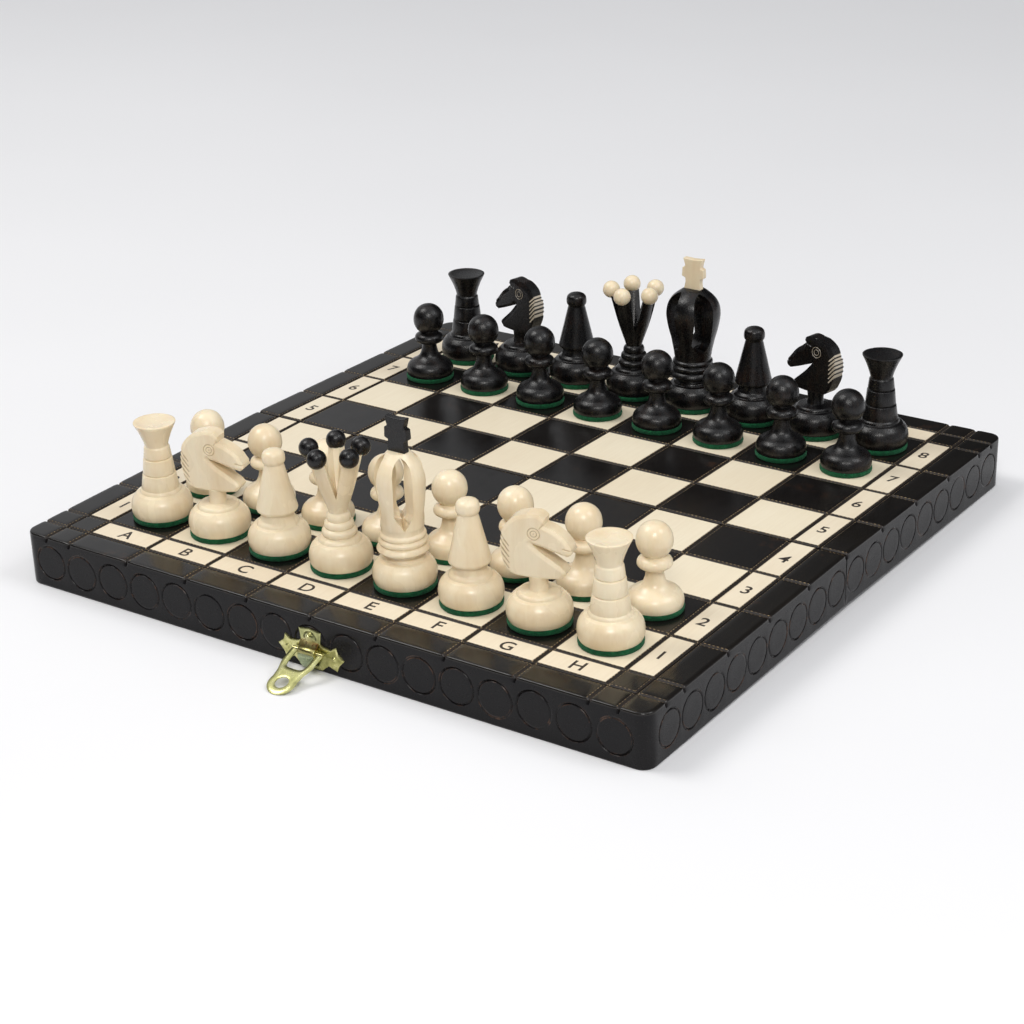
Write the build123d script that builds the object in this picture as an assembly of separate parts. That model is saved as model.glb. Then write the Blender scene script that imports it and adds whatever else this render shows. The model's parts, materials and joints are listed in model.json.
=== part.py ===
from build123d import *
import math
import os

# Folding wooden chess set, open on a table with all 32 men at the start position.
# Origin: on the table under the middle of the board. +X runs from the a-file to the h-file,
# +Y from White to Black, +Z up. All lengths in millimetres, all angles in degrees.

# Board
square = 36.5
strip_width = 14.5
rail_width = 14.5
board_length = 8 * square + 2 * (strip_width + rail_width)
half_depth = board_length / 2
board_height = 27.0
panel_thickness = 5.0
ledge_width = 4.0
seam_wall_thickness = 12.0
seam_gap = 0.15
rim_gap = 0.15
corner_radius = 6.5
top_chamfer = 0.9
lining_thickness = 1.0

# Burnt lines on top and rings stamped into the outer walls
line_width = 1.8
line_depth = 0.7
ring_diameter = 18.4
ring_groove_width = 1.1
ring_depth = 0.5
front_ring_count = 17
front_ring_pitch = 19.82
side_ring_count = 9
side_ring_pitch = 18.6
first_side_ring = 9.45

# Hinges under the seam
hinge_offset = 95.0
hinge_length = 30.0
knuckle_radius = 2.2
knuckle_count = 5
knuckle_gap = 0.3
hinge_pin_radius = 0.9
running_clearance = 0.07
leaf_width = 10.0
leaf_thickness = 1.0
leaf_clearance = 0.4
leaf_nail_spacing = 20.0
leaf_nail_from_seam = 6.5

# Brass clasp on White's outer wall and its keeper on Black's outer wall
plate_thickness = 0.7
barrel_height = 10.2
barrel_standoff = 2.7
barrel_radius = 2.0
barrel_half_length = 4.0
bridge_half_width = 5.0
tongue_half_width = 3.8
hasp_thickness = 0.9
hasp_bar_radius = 0.9
arm_outer = 8.7
arm_inner = 5.4
ring_centre = 20.0
ring_outer_radius = 7.0
ring_hole_radius = 3.2
petal_nail_offset = 13.0
petal_nail_height = 8.8
keeper_stud_radius = 1.9
keeper_head_radius = 2.4
keeper_nail_offset = 7.5

# Nails
nail_radius = 0.6
nail_head_radius = 1.3
nail_length = 7.0

# Chess men
felt_thickness = 2.0
officer_felt_radius = 14.5
pawn_felt_radius = 13.0
knight_head_thickness = 8.5
peg_radius = 2.0
peg_length = 5.0
queen_ball_radius = 4.6
queen_ball_circle = 12.4
queen_ball_height = 58.0
queen_arm_count = 5
crown_top = 65.5
crown_rib_count = 4
crown_window_width = 8.4
white_crown_radius = 11.9
black_crown_radius = 14.2
finial_height = 16.5
finial_thickness = 3.6

# Turns of the hand-placed men about their own axes
white_king_turn = -2.0
black_king_turn = 9.0
white_queen_turn = -19.6
black_queen_turn = -17.4
white_knight_turn = 14.0
black_knight_turn = 169.0

# The hinge knuckles stand on the table and lift the seam, so each half slopes down outwards
slope = math.asin(knuckle_radius / half_depth) + math.atan(rim_gap / half_depth)
slope_degrees = math.degrees(slope)
half_width = board_length / 2
well_half_width = half_width - rail_width - ledge_width
panel_half_width = half_width - rail_width
panel_bottom = board_height - panel_thickness
clasp_y = half_depth + barrel_standoff


def block(x0, x1, y0, y1, z0, z1):
    size = Box(x1 - x0, y1 - y0, z1 - z0, align=(Align.MIN, Align.MIN, Align.MIN))
    return Pos(x0, y0, z0) * size


def rod_along_x(x0, x1, y, z, radius):
    rod = Cylinder(radius, x1 - x0, align=(Align.CENTER, Align.CENTER, Align.MIN))
    return Pos(x0, y, z) * Rot(0, 90, 0) * rod


def rod_along_y(x, y0, y1, z, radius):
    rod = Cylinder(radius, y1 - y0, align=(Align.CENTER, Align.CENTER, Align.MIN))
    return Pos(x, y0, z) * Rot(-90, 0, 0) * rod


def rod_along_z(x, y, z0, z1, radius):
    rod = Cylinder(radius, z1 - z0, align=(Align.CENTER, Align.CENTER, Align.MIN))
    return Pos(x, y, z0) * rod


def flat_outline(points, plane, y0, y1):
    # A sheet cut to a closed outline in X and Z, standing between y0 and y1
    face = make_face(Polyline(*points, close=True))
    solid = extrude(plane * face, amount=y1 - y0)
    return Pos(0, y1, 0) * solid


def turned(*runs):
    # A solid turned on the Z axis. Each run is a list of (radius, height): two points
    # make a straight cut, more make a smooth curve.
    edges = []
    for run in runs:
        if len(run) == 2:
            edges.append(Line(*run))
        else:
            edges.append(Spline(*run))
    first = runs[0][0]
    last = runs[-1][-1]
    if last != first:
        edges.append(Line(last, first))
    return revolve(Plane.XZ * make_face(edges), Axis.Z)


def on_half(shape, side):
    # side is 1 for Black's half and -1 for White's. A half is drawn with its seam at y = 0,
    # its outer wall at +Y and the hinge axis along X through the drawing's origin.
    if side > 0:
        return Pos(0, 0, knuckle_radius) * Rot(-slope_degrees, 0, 0) * shape
    return Pos(0, 0, knuckle_radius) * Rot(slope_degrees, 0, 0) * Rot(0, 0, 180) * shape


def mirrored_pair(shape):
    return [shape, mirror(shape, Plane.YZ)]


# ---- board -------------------------------------------------------------------------------

def burnt_lines():
    # Straight grooves that run across the playing surface and out over the rails
    low = board_height - line_depth
    high = board_height + 1
    half = line_width / 2
    across = [k * square for k in range(-4, 5)]
    across.append(panel_half_width)
    across.append(-panel_half_width)
    cuts = [block(x - half, x + half, -1, half_depth + 1, low, high) for x in across]
    along = [k * square for k in range(1, 5)]
    along.append(panel_half_width)
    for y in along:
        cuts.append(block(-half_width - 1, half_width + 1, y - half, y + half, low, high))
    return cuts


def stamped_ring():
    outer = ring_diameter / 2
    inner = outer - ring_groove_width
    tube = Cylinder(outer, 2 * ring_depth) - Cylinder(inner, 2 * ring_depth)
    return tube


def front_rings():
    first = -front_ring_pitch * (front_ring_count - 1) / 2
    rings = []
    for k in range(front_ring_count):
        place = Pos(first + k * front_ring_pitch, half_depth, board_height / 2)
        rings.append(place * Rot(90, 0, 0) * stamped_ring())
    return rings


def side_rings(x):
    rings = []
    for k in range(side_ring_count):
        place = Pos(x, first_side_ring + k * side_ring_pitch, board_height / 2)
        rings.append(place * Rot(0, 90, 0) * stamped_ring())
    return rings


def rails():
    # The three outer rails before the mitres are sawn, with a ledge for the panel
    body = block(-half_width, half_width, seam_gap, half_depth, rim_gap, board_height)
    corners = body.edges().filter_by(Axis.Z).group_by(Axis.Y)[-1]
    body = fillet(corners, corner_radius)
    top_edges = body.edges().group_by(Axis.Z)[-1]
    outer_edges = [e for e in top_edges if e.center().Y > seam_gap + 1]
    body = chamfer(outer_edges, top_chamfer)
    recess = block(
        -panel_half_width, panel_half_width, -1, panel_half_width, panel_bottom, board_height + 1
    )
    well = block(-well_half_width, well_half_width, -1, well_half_width, -1, panel_bottom + 1)
    return body - recess - well - burnt_lines()


def outer_rail(frame):
    far = half_width + 10
    near = well_half_width - 10
    points = [(-far, far), (far, far), (near, near), (-near, near)]
    wedge = extrude(make_face(Polyline(*points, close=True)), amount=board_height + 5)
    return frame & wedge


def side_rail(frame, sign):
    far = half_width + 10
    near = well_half_width - 10
    points = [(sign * far, -5), (sign * far, far), (sign * near, near), (sign * near, -5)]
    wedge = extrude(make_face(Polyline(*points, close=True)), amount=board_height + 5)
    return frame & wedge


def seam_wall(hinge_cuts):
    wall = block(
        -well_half_width, well_half_width, seam_gap, seam_wall_thickness, rim_gap, panel_bottom
    )
    return wall - hinge_cuts


def playing_panel():
    panel = block(
        -panel_half_width, panel_half_width, seam_gap, panel_half_width, panel_bottom, board_height
    )
    return panel - burnt_lines()


def felt_lining():
    return block(
        -well_half_width,
        well_half_width,
        seam_wall_thickness,
        well_half_width,
        panel_bottom - lining_thickness,
        panel_bottom,
    )


# ---- hinges ------------------------------------------------------------------------------

def leaf_nails(x):
    # Countersunk nails driven up through one leaf
    nails = []
    for dx in (-leaf_nail_spacing / 2, leaf_nail_spacing / 2):
        shank = rod_along_z(x + dx, leaf_nail_from_seam, rim_gap, rim_gap + nail_length, nail_radius)
        head = Cone(nail_head_radius, nail_radius, 0.8, align=(Align.CENTER, Align.CENTER, Align.MIN))
        nails.append(shank + Pos(x + dx, leaf_nail_from_seam, rim_gap) * head)
    return nails


def hinge_leaf(x, own_knuckles, bore_radius, nails):
    # One leaf let into the rim, with its share of the knuckles rolled round the hinge axis
    x0 = x - hinge_length / 2
    pitch = hinge_length / knuckle_count
    clear = knuckle_radius + leaf_clearance
    leaf = block(x0, x0 + hinge_length, clear, leaf_width, rim_gap, rim_gap + leaf_thickness)
    for k in own_knuckles:
        start = x0 + k * pitch + knuckle_gap / 2
        end = x0 + (k + 1) * pitch - knuckle_gap / 2
        leaf += block(start, end, 0, clear, rim_gap, rim_gap + leaf_thickness)
        leaf += rod_along_x(start, end, 0, 0, knuckle_radius)
    leaf -= rod_along_x(x0 - 1, x0 + hinge_length + 1, 0, 0, bore_radius)
    return leaf - nails


def hinge_pocket(x):
    # What is cut out of the seam wall for one hinge
    reach = hinge_length / 2 + leaf_clearance
    pocket = block(x - reach, x + reach, -1, leaf_width + 0.2, 0, rim_gap + leaf_thickness)
    groove = rod_along_x(x - reach, x + reach, 0, 0, knuckle_radius + leaf_clearance)
    return pocket + groove


def hinge_pin(x):
    return rod_along_x(x - hinge_length / 2, x + hinge_length / 2, 0, 0, hinge_pin_radius)


# ---- clasp -------------------------------------------------------------------------------

def petal_nail(x, z):
    # Round-headed nail through a plate on the outer wall
    front = half_depth + plate_thickness
    shank = rod_along_y(x, half_depth - nail_length, front, z, nail_radius)
    head = Pos(x, front, z) * Rot(-90, 0, 0) * Cone(
        nail_head_radius, 0.6, 0.7, align=(Align.CENTER, Align.CENTER, Align.MIN)
    )
    return shank + head


def clasp_nails():
    return [
        petal_nail(-petal_nail_offset, petal_nail_height),
        petal_nail(petal_nail_offset, petal_nail_height),
        petal_nail(0, 18.0),
    ]


def star_outline():
    right = [
        (6.2, 19.9),
        (5.4, 14.2),
        (7.3, 13.4),
        (11.6, 13.0),
        (14.4, 14.8),
        (15.4, 11.6),
        (18.6, 9.0),
        (15.6, 5.8),
        (14.4, 2.8),
        (9.6, 4.4),
        (5.8, 1.2),
    ]
    left = [(-x, z) for x, z in reversed(right)]
    return [(0.0, 21.0)] + right + [(0.0, 0.9)] + left


def clasp_plate(nails):
    # Star plate with the sheet bridge, the rolled barrel and the curved tongue under it
    front = half_depth + plate_thickness
    plate = flat_outline(star_outline(), Plane.XZ, half_depth, front)
    bridge = [(front - 0.2, 14.9), (clasp_y, 12.2), (clasp_y, 11.3), (front - 0.2, 13.8)]
    plate += strip_along_x(bridge, bridge_half_width)
    plate += rod_along_x(-barrel_half_length, barrel_half_length, clasp_y, barrel_height, barrel_radius)
    tongue = [
        (clasp_y + 1.1, 10.6),
        (clasp_y + 1.9, 9.9),
        (clasp_y + 2.1, 7.4),
        (clasp_y + 1.5, 4.4),
        (clasp_y + 0.3, 2.0),
        (clasp_y - 0.5, 1.6),
        (clasp_y - 0.5, 2.3),
        (clasp_y + 0.8, 4.7),
        (clasp_y + 1.4, 7.4),
        (clasp_y + 1.1, 8.8),
    ]
    plate += strip_along_x(tongue, tongue_half_width)
    bore = hasp_bar_radius + running_clearance
    plate -= rod_along_x(-20, 20, clasp_y, barrel_height, bore)
    return plate - nails


def strip_along_x(points, half):
    # A section in Y and Z carried sideways by half on each side of the middle
    face = make_face(Polyline(*points, close=True))
    return Pos(-half, 0, 0) * extrude(Plane.YZ * face, amount=2 * half)


def hasp_drop():
    # How far below level the hasp hangs in the half's own frame, its ring end on the table
    barrel_above_table = (
        knuckle_radius + barrel_height * math.cos(slope) - clasp_y * math.sin(slope)
    )
    reach = ring_centre + ring_outer_radius
    drop = math.asin((barrel_above_table - hasp_thickness / 2 - 0.03) / reach)
    return math.degrees(drop - slope)


def hasp():
    # Two arms, a window that swings over the tongue, a round end ring and the bar that turns
    # in the barrel. Drawn level, reaching out along +Y from the barrel.
    right = [(arm_outer, -1.3), (arm_outer, 8.5), (6.9, 13.4), (6.9, ring_centre)]
    left = [(-x, y) for x, y in reversed(right)]
    sheet = make_face(Polyline(*right, *left, close=True))
    sheet += Pos(0, ring_centre) * Circle(ring_outer_radius)
    window = [(-arm_inner, -3), (arm_inner, -3), (arm_inner, 8), (4.4, 11), (-4.4, 11), (-arm_inner, 8)]
    sheet -= make_face(Polyline(*window, close=True))
    sheet -= Pos(0, ring_centre) * Circle(ring_hole_radius)
    body = Pos(0, 0, -hasp_thickness / 2) * extrude(sheet, amount=hasp_thickness)
    body += rod_along_x(-arm_outer, arm_outer, 0, 0, hasp_bar_radius)
    return Pos(0, clasp_y, barrel_height) * Rot(-hasp_drop(), 0, 0) * body


def keeper_nails():
    height = ring_centre - barrel_height
    return [petal_nail(-keeper_nail_offset, height), petal_nail(keeper_nail_offset, height)]


def keeper(nails):
    # Small plate with a headed stud that the hasp's ring drops over when the box is shut
    height = ring_centre - barrel_height
    front = half_depth + plate_thickness
    half = [(3.6, 5.8), (5.4, 3.4), (9.6, 4.4), (11.4, 0.0), (9.6, -4.4), (5.4, -3.4), (3.6, -5.8)]
    other = [(-x, z) for x, z in reversed(half)]
    points = [(x, z + height) for x, z in half + other]
    plate = flat_outline(points, Plane.XZ, half_depth, front)
    plate += rod_along_y(0, front - 0.1, half_depth + 5.0, height, keeper_stud_radius)
    plate += rod_along_y(0, half_depth + 4.2, half_depth + 5.1, height, keeper_head_radius)
    return plate - nails


# ---- chess men ---------------------------------------------------------------------------

def felt_pad(radius):
    return rod_along_z(0, 0, 0, felt_thickness, radius)


def officer_foot(neck_radius, neck_height):
    # The rounded foot shared by all the back-rank men, up to a plain neck
    return turned(
        [(0, felt_thickness), (13.9, felt_thickness)],
        [(13.9, felt_thickness), (14.7, 4.2), (14.8, 7.6), (13.7, 11.2), (11.2, 13.9)],
        [(11.2, 13.9), (9.9, 14.3)],
        [(9.9, 14.3), (9.4, 15.4)],
        [(9.4, 15.4), (neck_radius, 16.4)],
        [(neck_radius, 16.4), (neck_radius, neck_height)],
        [(neck_radius, neck_height), (0, neck_height)],
    )


def pawn():
    return turned(
        [(0, felt_thickness), (12.5, felt_thickness)],
        [(12.5, felt_thickness), (12.9, 4.4), (12.5, 6.8), (10.9, 9.2)],
        [(10.9, 9.2), (7.0, 11.8), (4.6, 15.2), (3.9, 20.6)],
        [(3.9, 20.6), (6.6, 20.9)],
        [(6.6, 20.9), (7.95, 23.0), (6.6, 25.4)],
        [(6.6, 25.4), (4.7, 26.6)],
        [(4.7, 26.6), (7.6, 30.0), (8.3, 33.8), (7.2, 38.0), (4.2, 41.2), (0, 42.1)],
    )


def rook():
    column = turned(
        [(0, 14.0), (8.9, 14.0)],
        [(8.9, 14.0), (7.9, 22.9)],
        [(7.9, 22.9), (7.2, 23.4)],
        [(7.2, 23.4), (7.6, 23.9)],
        [(7.6, 23.9), (6.9, 30.9)],
        [(6.9, 30.9), (6.3, 31.4)],
        [(6.3, 31.4), (6.7, 31.9)],
        [(6.7, 31.9), (6.1, 37.0)],
        [(6.1, 37.0), (5.6, 37.6)],
        [(5.6, 37.6), (7.0, 42.6), (10.1, 49.0)],
        [(10.1, 49.0), (10.1, 49.8)],
        [(10.1, 49.8), (0, 49.2)],
    )
    return officer_foot(8.0, 15.0) + column


def bishop():
    body = turned(
        [(0, 15.0), (9.1, 15.0)],
        [(9.1, 15.0), (9.2, 16.4), (8.2, 17.2)],
        [(8.2, 17.2), (7.6, 20.2)],
        [(7.6, 20.2), (9.2, 20.3)],
        [(9.2, 20.3), (9.7, 21.4), (9.1, 24.0)],
        [(9.1, 24.0), (4.4, 44.0)],
        [(4.4, 44.0), (5.3, 45.6), (5.4, 47.6), (4.2, 49.8), (0, 51.0)],
    )
    return officer_foot(8.6, 16.8) + body


def white_head_outline():
    # Side view of a white knight's carved head, looking along +X
    mane = [(-13.2, 25.4), (-15.4, 31.0), (-16.2, 38.0), (-14.6, 45.0), (-9.6, 50.6), (-3.6, 52.8)]
    ear = [(-3.6, 52.8), (1.6, 52.8), (4.4, 50.9)]
    brow = [(4.4, 50.9), (4.2, 48.0)]
    nose = [(4.2, 48.0), (8.6, 46.2), (13.2, 43.0), (16.2, 39.0)]
    muzzle = [(16.2, 39.0), (16.6, 36.4), (14.6, 34.8)]
    jaw = [(14.6, 34.8), (9.0, 36.2), (3.4, 38.0), (-2.0, 39.2)]
    throat = [(-2.0, 39.2), (1.6, 35.8), (6.8, 32.4), (11.6, 29.4)]
    chest = [(11.6, 29.4), (13.8, 26.8), (12.2, 24.2)]
    keel = [(12.2, 24.2), (8.0, 23.6), (4.0, 23.2)]
    under = [(4.0, 23.2), (-5.0, 23.2)]
    fan = [(-5.0, 23.2), (-9.6, 23.6), (-13.2, 25.4)]
    return [mane, ear, brow, nose, muzzle, jaw, throat, chest, keel, under, fan]


def black_head_outline():
    # The black heads are cut leaner, with a drooping muzzle and a forelock
    neck = [(-11.1, 26.6), (-13.3, 31.8), (-14.2, 37.5), (-13.7, 43.0)]
    mane = neck + [(-11.2, 48.3), (-6.6, 51.5), (-2.0, 52.3)]
    ear = [(-2.0, 52.3), (1.8, 52.7), (4.6, 51.8), (5.4, 50.2)]
    brow = [(5.4, 50.2), (4.6, 48.9), (6.5, 47.2)]
    nose = [(6.5, 47.2), (11.0, 43.9), (15.2, 38.9)]
    muzzle = [(15.2, 38.9), (16.5, 36.2), (16.1, 34.2), (14.2, 33.2)]
    jaw = [(14.2, 33.2), (8.3, 35.3), (0.6, 38.4)]
    throat = [(0.6, 38.4), (5.0, 33.4), (10.3, 28.6)]
    chest = [(10.3, 28.6), (12.2, 26.2), (10.8, 24.0)]
    keel = [(10.8, 24.0), (8.0, 23.5), (4.0, 23.2)]
    under = [(4.0, 23.2), (-5.0, 23.2)]
    fan = [(-5.0, 23.2), (-8.6, 24.0), (-11.1, 26.6)]
    return [mane, ear, brow, nose, muzzle, jaw, throat, chest, keel, under, fan]


def knight_head(outline, cut_x, lowest_cut):
    edges = []
    for run in outline:
        if len(run) == 2:
            edges.append(Line(*run))
        else:
            edges.append(Spline(*run))
    face = Plane.XZ * make_face(edges)
    slab = Pos(0, knight_head_thickness / 2, 0) * extrude(face, amount=knight_head_thickness)
    slab = slab - mane_cuts(cut_x, lowest_cut)
    return slab + rod_along_z(0, 0, 23.2 - peg_length, 24.0, peg_radius)


def mane_cuts(cut_x, lowest_cut):
    # Slanting knife cuts along the back of the neck, on both faces
    cuts = []
    for k in range(5):
        for side in (-1, 1):
            cut = Box(5.2, 1.2, 0.9)
            place = Pos(cut_x, side * knight_head_thickness / 2, lowest_cut + 2.6 * k)
            cuts.append(place * Rot(0, 55, 0) * cut)
    return cuts


def knight_foot():
    return officer_foot(4.3, 23.2) - rod_along_z(0, 0, 23.2 - peg_length, 24.0, peg_radius)


def queen():
    stem = turned(
        [(0, 15.0), (7.6, 15.0)],
        [(7.6, 15.0), (7.6, 16.6)],
        [(7.6, 16.6), (8.2, 18.2), (7.4, 20.0)],
        [(7.4, 20.0), (6.5, 20.4)],
        [(6.5, 20.4), (7.0, 22.0), (6.2, 23.6)],
        [(6.2, 23.6), (5.4, 24.0)],
        [(5.4, 24.0), (5.7, 25.6), (5.0, 27.4)],
        [(5.0, 27.4), (4.3, 28.0)],
        [(4.3, 28.0), (8.3, 40.0), (12.6, 56.0)],
        [(12.6, 56.0), (9.0, 56.0)],
        [(9.0, 56.0), (0, 37.0)],
    )
    body = officer_foot(7.6, 16.0) + stem
    for k in range(queen_arm_count):
        turn = 180 / queen_arm_count + k * 360 / queen_arm_count
        points = [(0, 38.0), (4.9, 57.0), (-4.9, 57.0)]
        notch = extrude(Plane.XZ * make_face(Polyline(*points, close=True)), amount=20)
        body -= Rot(0, 0, turn + 90) * notch
    for ball in queen_balls():
        body -= ball
    return body


def queen_balls():
    balls = []
    for k in range(queen_arm_count):
        spot = Rot(0, 0, k * 360 / queen_arm_count) * Pos(queen_ball_circle, 0, queen_ball_height)
        balls.append(spot * Sphere(queen_ball_radius))
    return balls


def king(radius):
    # radius is the crown's widest
    swell = radius - 9.7
    stem = turned(
        [(0, 15.0), (9.0, 15.0)],
        [(9.0, 15.0), (9.0, 17.0)],
        [(9.0, 17.0), (11.6, 17.4)],
        [(11.6, 17.4), (12.2, 19.0), (11.4, 20.8)],
        [(11.4, 20.8), (10.6, 21.2)],
        [(10.6, 21.2), (11.3, 22.6), (10.6, 24.0)],
        [(10.6, 24.0), (10.0, 24.4)],
        [(10.0, 24.4), (10.7, 25.6), (10.0, 26.8)],
        [(10.0, 26.8), (9.7, 27.2)],
        [
            (9.7, 27.2),
            (9.7 + 0.18 * swell, 33.0),
            (9.7 + 0.7 * swell, 44.0),
            (radius, 52.5),
            (0.84 * radius, 60.0),
            (5.4, crown_top),
        ],
        [(5.4, crown_top), (0, crown_top)],
    )
    hollow = turned(
        [(0, 33.0), (0.4 * radius, 35.0)],
        [(0.4 * radius, 35.0), (0.55 * radius, 45.0), (0.6 * radius, 52.0), (0.46 * radius, 58.0), (0, 61.5)],
    )
    body = officer_foot(9.0, 16.0) + stem - hollow
    for k in range(crown_rib_count):
        turn = 180 / crown_rib_count + k * 360 / crown_rib_count
        half = crown_window_width / 2
        right = [(half, 38.0), (half, 55.0), (0.3, 63.0)]
        left = [(-x, z) for x, z in reversed(right)]
        points = [(0, 30.0)] + right + left
        window = extrude(Plane.XZ * make_face(Polyline(*points, close=True)), amount=20)
        body -= Rot(0, 0, turn + 90) * window
    return body - rod_along_z(0, 0, crown_top - peg_length, crown_top + 1, peg_radius)


def king_finial():
    # Flat notched cross, set with a round peg in the top of the crown
    half = [
        (4.9, 0.0),
        (4.3, 3.6),
        (4.4, 5.6),
        (6.3, 6.4),
        (6.0, 11.2),
        (4.6, 11.8),
        (4.8, 12.8),
        (5.9, finial_height),
    ]
    other = [(-x, z) for x, z in reversed(half)]
    points = [(x, z + crown_top) for x, z in half + other]
    cross = flat_outline(points, Plane.XZ, -finial_thickness / 2, finial_thickness / 2)
    return cross + rod_along_z(0, 0, crown_top - peg_length, crown_top + 0.5, peg_radius)


# ---- setting out -------------------------------------------------------------------------

def on_square(shape, side, file_index, row_from_seam, turn):
    # row_from_seam counts squares outwards from the seam; turn is the heading in the open board
    x = side * (file_index - 3.5) * square
    y = (row_from_seam + 0.5) * square
    spin = turn if side > 0 else turn + 180
    return on_half(Pos(x, y, board_height) * Rot(0, 0, spin) * shape, side)


def save(name, solids):
    shape = solids
    if isinstance(solids, (list, tuple)):
        shape = Compound(children=list(solids))
    export_step(shape, "parts/" + name + ".step")


def placed(solids, side):
    return [on_half(solid, side) for solid in solids]


def save_board(colour, side):
    bores = front_rings()
    frame = rails()
    if side < 0:
        bores = bores + clasp_nails()
    else:
        bores = bores + keeper_nails()
    outer = outer_rail(frame) - bores
    save(colour + "_outer_rail", on_half(outer, side))
    for sign, name in ((1, "right"), (-1, "left")):
        rail = side_rail(frame, sign * side) - side_rings(sign * side * half_width)
        save(colour + "_" + name + "_rail", on_half(rail, side))
    nails = leaf_nails(-hinge_offset) + leaf_nails(hinge_offset)
    pockets = [hinge_pocket(-hinge_offset), hinge_pocket(hinge_offset)]
    save(colour + "_seam_wall", on_half(seam_wall(pockets + nails), side))
    save(colour + "_playing_panel", on_half(playing_panel(), side))
    save(colour + "_felt_lining", on_half(felt_lining(), side))
    save(colour + "_hinge_nails", placed(nails, side))
    if side < 0:
        knuckles = (1, 3)
        bore = hinge_pin_radius
    else:
        knuckles = (0, 2, 4)
        bore = hinge_pin_radius + running_clearance
    leaves = [hinge_leaf(x, knuckles, bore, nails) for x in (-hinge_offset, hinge_offset)]
    save(colour + "_hinge_leaves", placed(leaves, side))


def save_clasp():
    pins = [hinge_pin(-hinge_offset), hinge_pin(hinge_offset)]
    save("hinge_pins", placed(pins, -1))
    nails = clasp_nails()
    save("clasp_plate", on_half(clasp_plate(nails), -1))
    save("clasp_nails", placed(nails, -1))
    save("clasp_hasp", on_half(hasp(), -1))
    nails = keeper_nails()
    save("keeper_plate", on_half(keeper(nails), 1))
    save("keeper_nails", placed(nails, 1))


def save_man(name, solids, side, file_index, row_from_seam, turn):
    save(name, [on_square(solid, side, file_index, row_from_seam, turn) for solid in solids])


def save_men(colour, side, head, knight_turn, queen_turn, king_turn, crown):
    pad = felt_pad(officer_felt_radius)
    foot = knight_foot()
    for file_index, letter in ((0, "a"), (7, "h")):
        save_man(colour + "_rook_" + letter, [rook(), pad], side, file_index, 3, 0)
    for file_index, letter in ((1, "b"), (6, "g")):
        parts = [foot, head, pad]
        save_man(colour + "_knight_" + letter, parts, side, file_index, 3, knight_turn)
    for file_index, letter in ((2, "c"), (5, "f")):
        save_man(colour + "_bishop_" + letter, [bishop(), pad], side, file_index, 3, 0)
    save_man(colour + "_queen", [queen(), pad], side, 3, 3, queen_turn)
    save_man(colour + "_queen_balls", queen_balls(), side, 3, 3, queen_turn)
    save_man(colour + "_king", [crown, pad], side, 4, 3, king_turn)
    save_man(colour + "_king_finial", [king_finial()], side, 4, 3, 0)
    pawn_solids = [pawn(), felt_pad(pawn_felt_radius)]
    for file_index, letter in enumerate("abcdefgh"):
        save_man(colour + "_pawn_" + letter, pawn_solids, side, file_index, 2, 0)


os.makedirs("parts", exist_ok=True)
save_board("white", -1)
save_board("black", 1)
save_clasp()
white_head = knight_head(white_head_outline(), -14.8, 29.5)
black_head = knight_head(black_head_outline(), -13.0, 34.0)
white_king = king(white_crown_radius)
black_king = king(black_crown_radius)
save_men("white", -1, white_head, white_knight_turn, white_queen_turn, white_king_turn, white_king)
save_men("black", 1, black_head, black_knight_turn, black_queen_turn, black_king_turn, black_king)
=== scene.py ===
import json
import math
import random

import bmesh
import bpy
from mathutils import Matrix, Vector, geometry, noise


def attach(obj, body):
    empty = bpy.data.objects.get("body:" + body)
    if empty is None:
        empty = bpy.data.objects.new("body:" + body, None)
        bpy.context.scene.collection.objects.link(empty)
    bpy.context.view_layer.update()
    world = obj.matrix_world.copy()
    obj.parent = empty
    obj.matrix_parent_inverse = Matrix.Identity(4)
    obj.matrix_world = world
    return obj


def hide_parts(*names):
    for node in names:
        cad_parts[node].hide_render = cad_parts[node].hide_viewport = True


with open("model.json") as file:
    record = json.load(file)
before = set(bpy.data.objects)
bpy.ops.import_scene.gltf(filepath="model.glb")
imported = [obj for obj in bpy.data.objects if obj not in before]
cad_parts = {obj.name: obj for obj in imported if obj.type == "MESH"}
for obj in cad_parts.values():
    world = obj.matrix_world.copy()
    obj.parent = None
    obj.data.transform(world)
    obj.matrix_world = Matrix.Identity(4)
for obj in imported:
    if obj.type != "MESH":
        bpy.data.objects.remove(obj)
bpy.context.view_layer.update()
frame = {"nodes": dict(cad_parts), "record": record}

MM = 0.001

# ---- the board's own numbers, in millimetres, as the CAD has them ------------------------
# Each half is drawn in its own frame: the seam at y 0, the outer wall at +y, the middle file line at x 0.
SQUARE = 36.5
HALF = 175.0
STRIP_OUT = 160.5
STRIP_IN = 4 * SQUARE
HEIGHT = 27.0
PANEL_LOW = 22.0
SEAM = 0.15
RIM = 0.15
CORNER = 6.5
STRAIGHT = HALF - CORNER
FELT = 2.0

record = frame["record"]
JOINTS = {j["name"]: j for j in record["behaviour"]["joints"]}
HINGE_Z = JOINTS["board_fold"]["pos_m"][2]
UP_WHITE = JOINTS["lift_white_king"]["axis"]
SLOPE = math.atan2(-UP_WHITE[1], UP_WHITE[2])
WHITE, BLACK = -1, 1
COLOUR = {WHITE: "white", BLACK: "black"}
FILES = "ABCDEFGH"


def half_matrix(side):
    """From a half's own drawing frame (seam at y 0, outer wall at +y) to the row frame."""
    lift = Matrix.Translation((0, 0, HINGE_Z))
    if side == BLACK:
        return lift @ Matrix.Rotation(-SLOPE, 4, "X")
    return lift @ Matrix.Rotation(SLOPE, 4, "X") @ Matrix.Rotation(math.pi, 4, "Z")


# ---- materials ------------------------------------------------------------------------------

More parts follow.
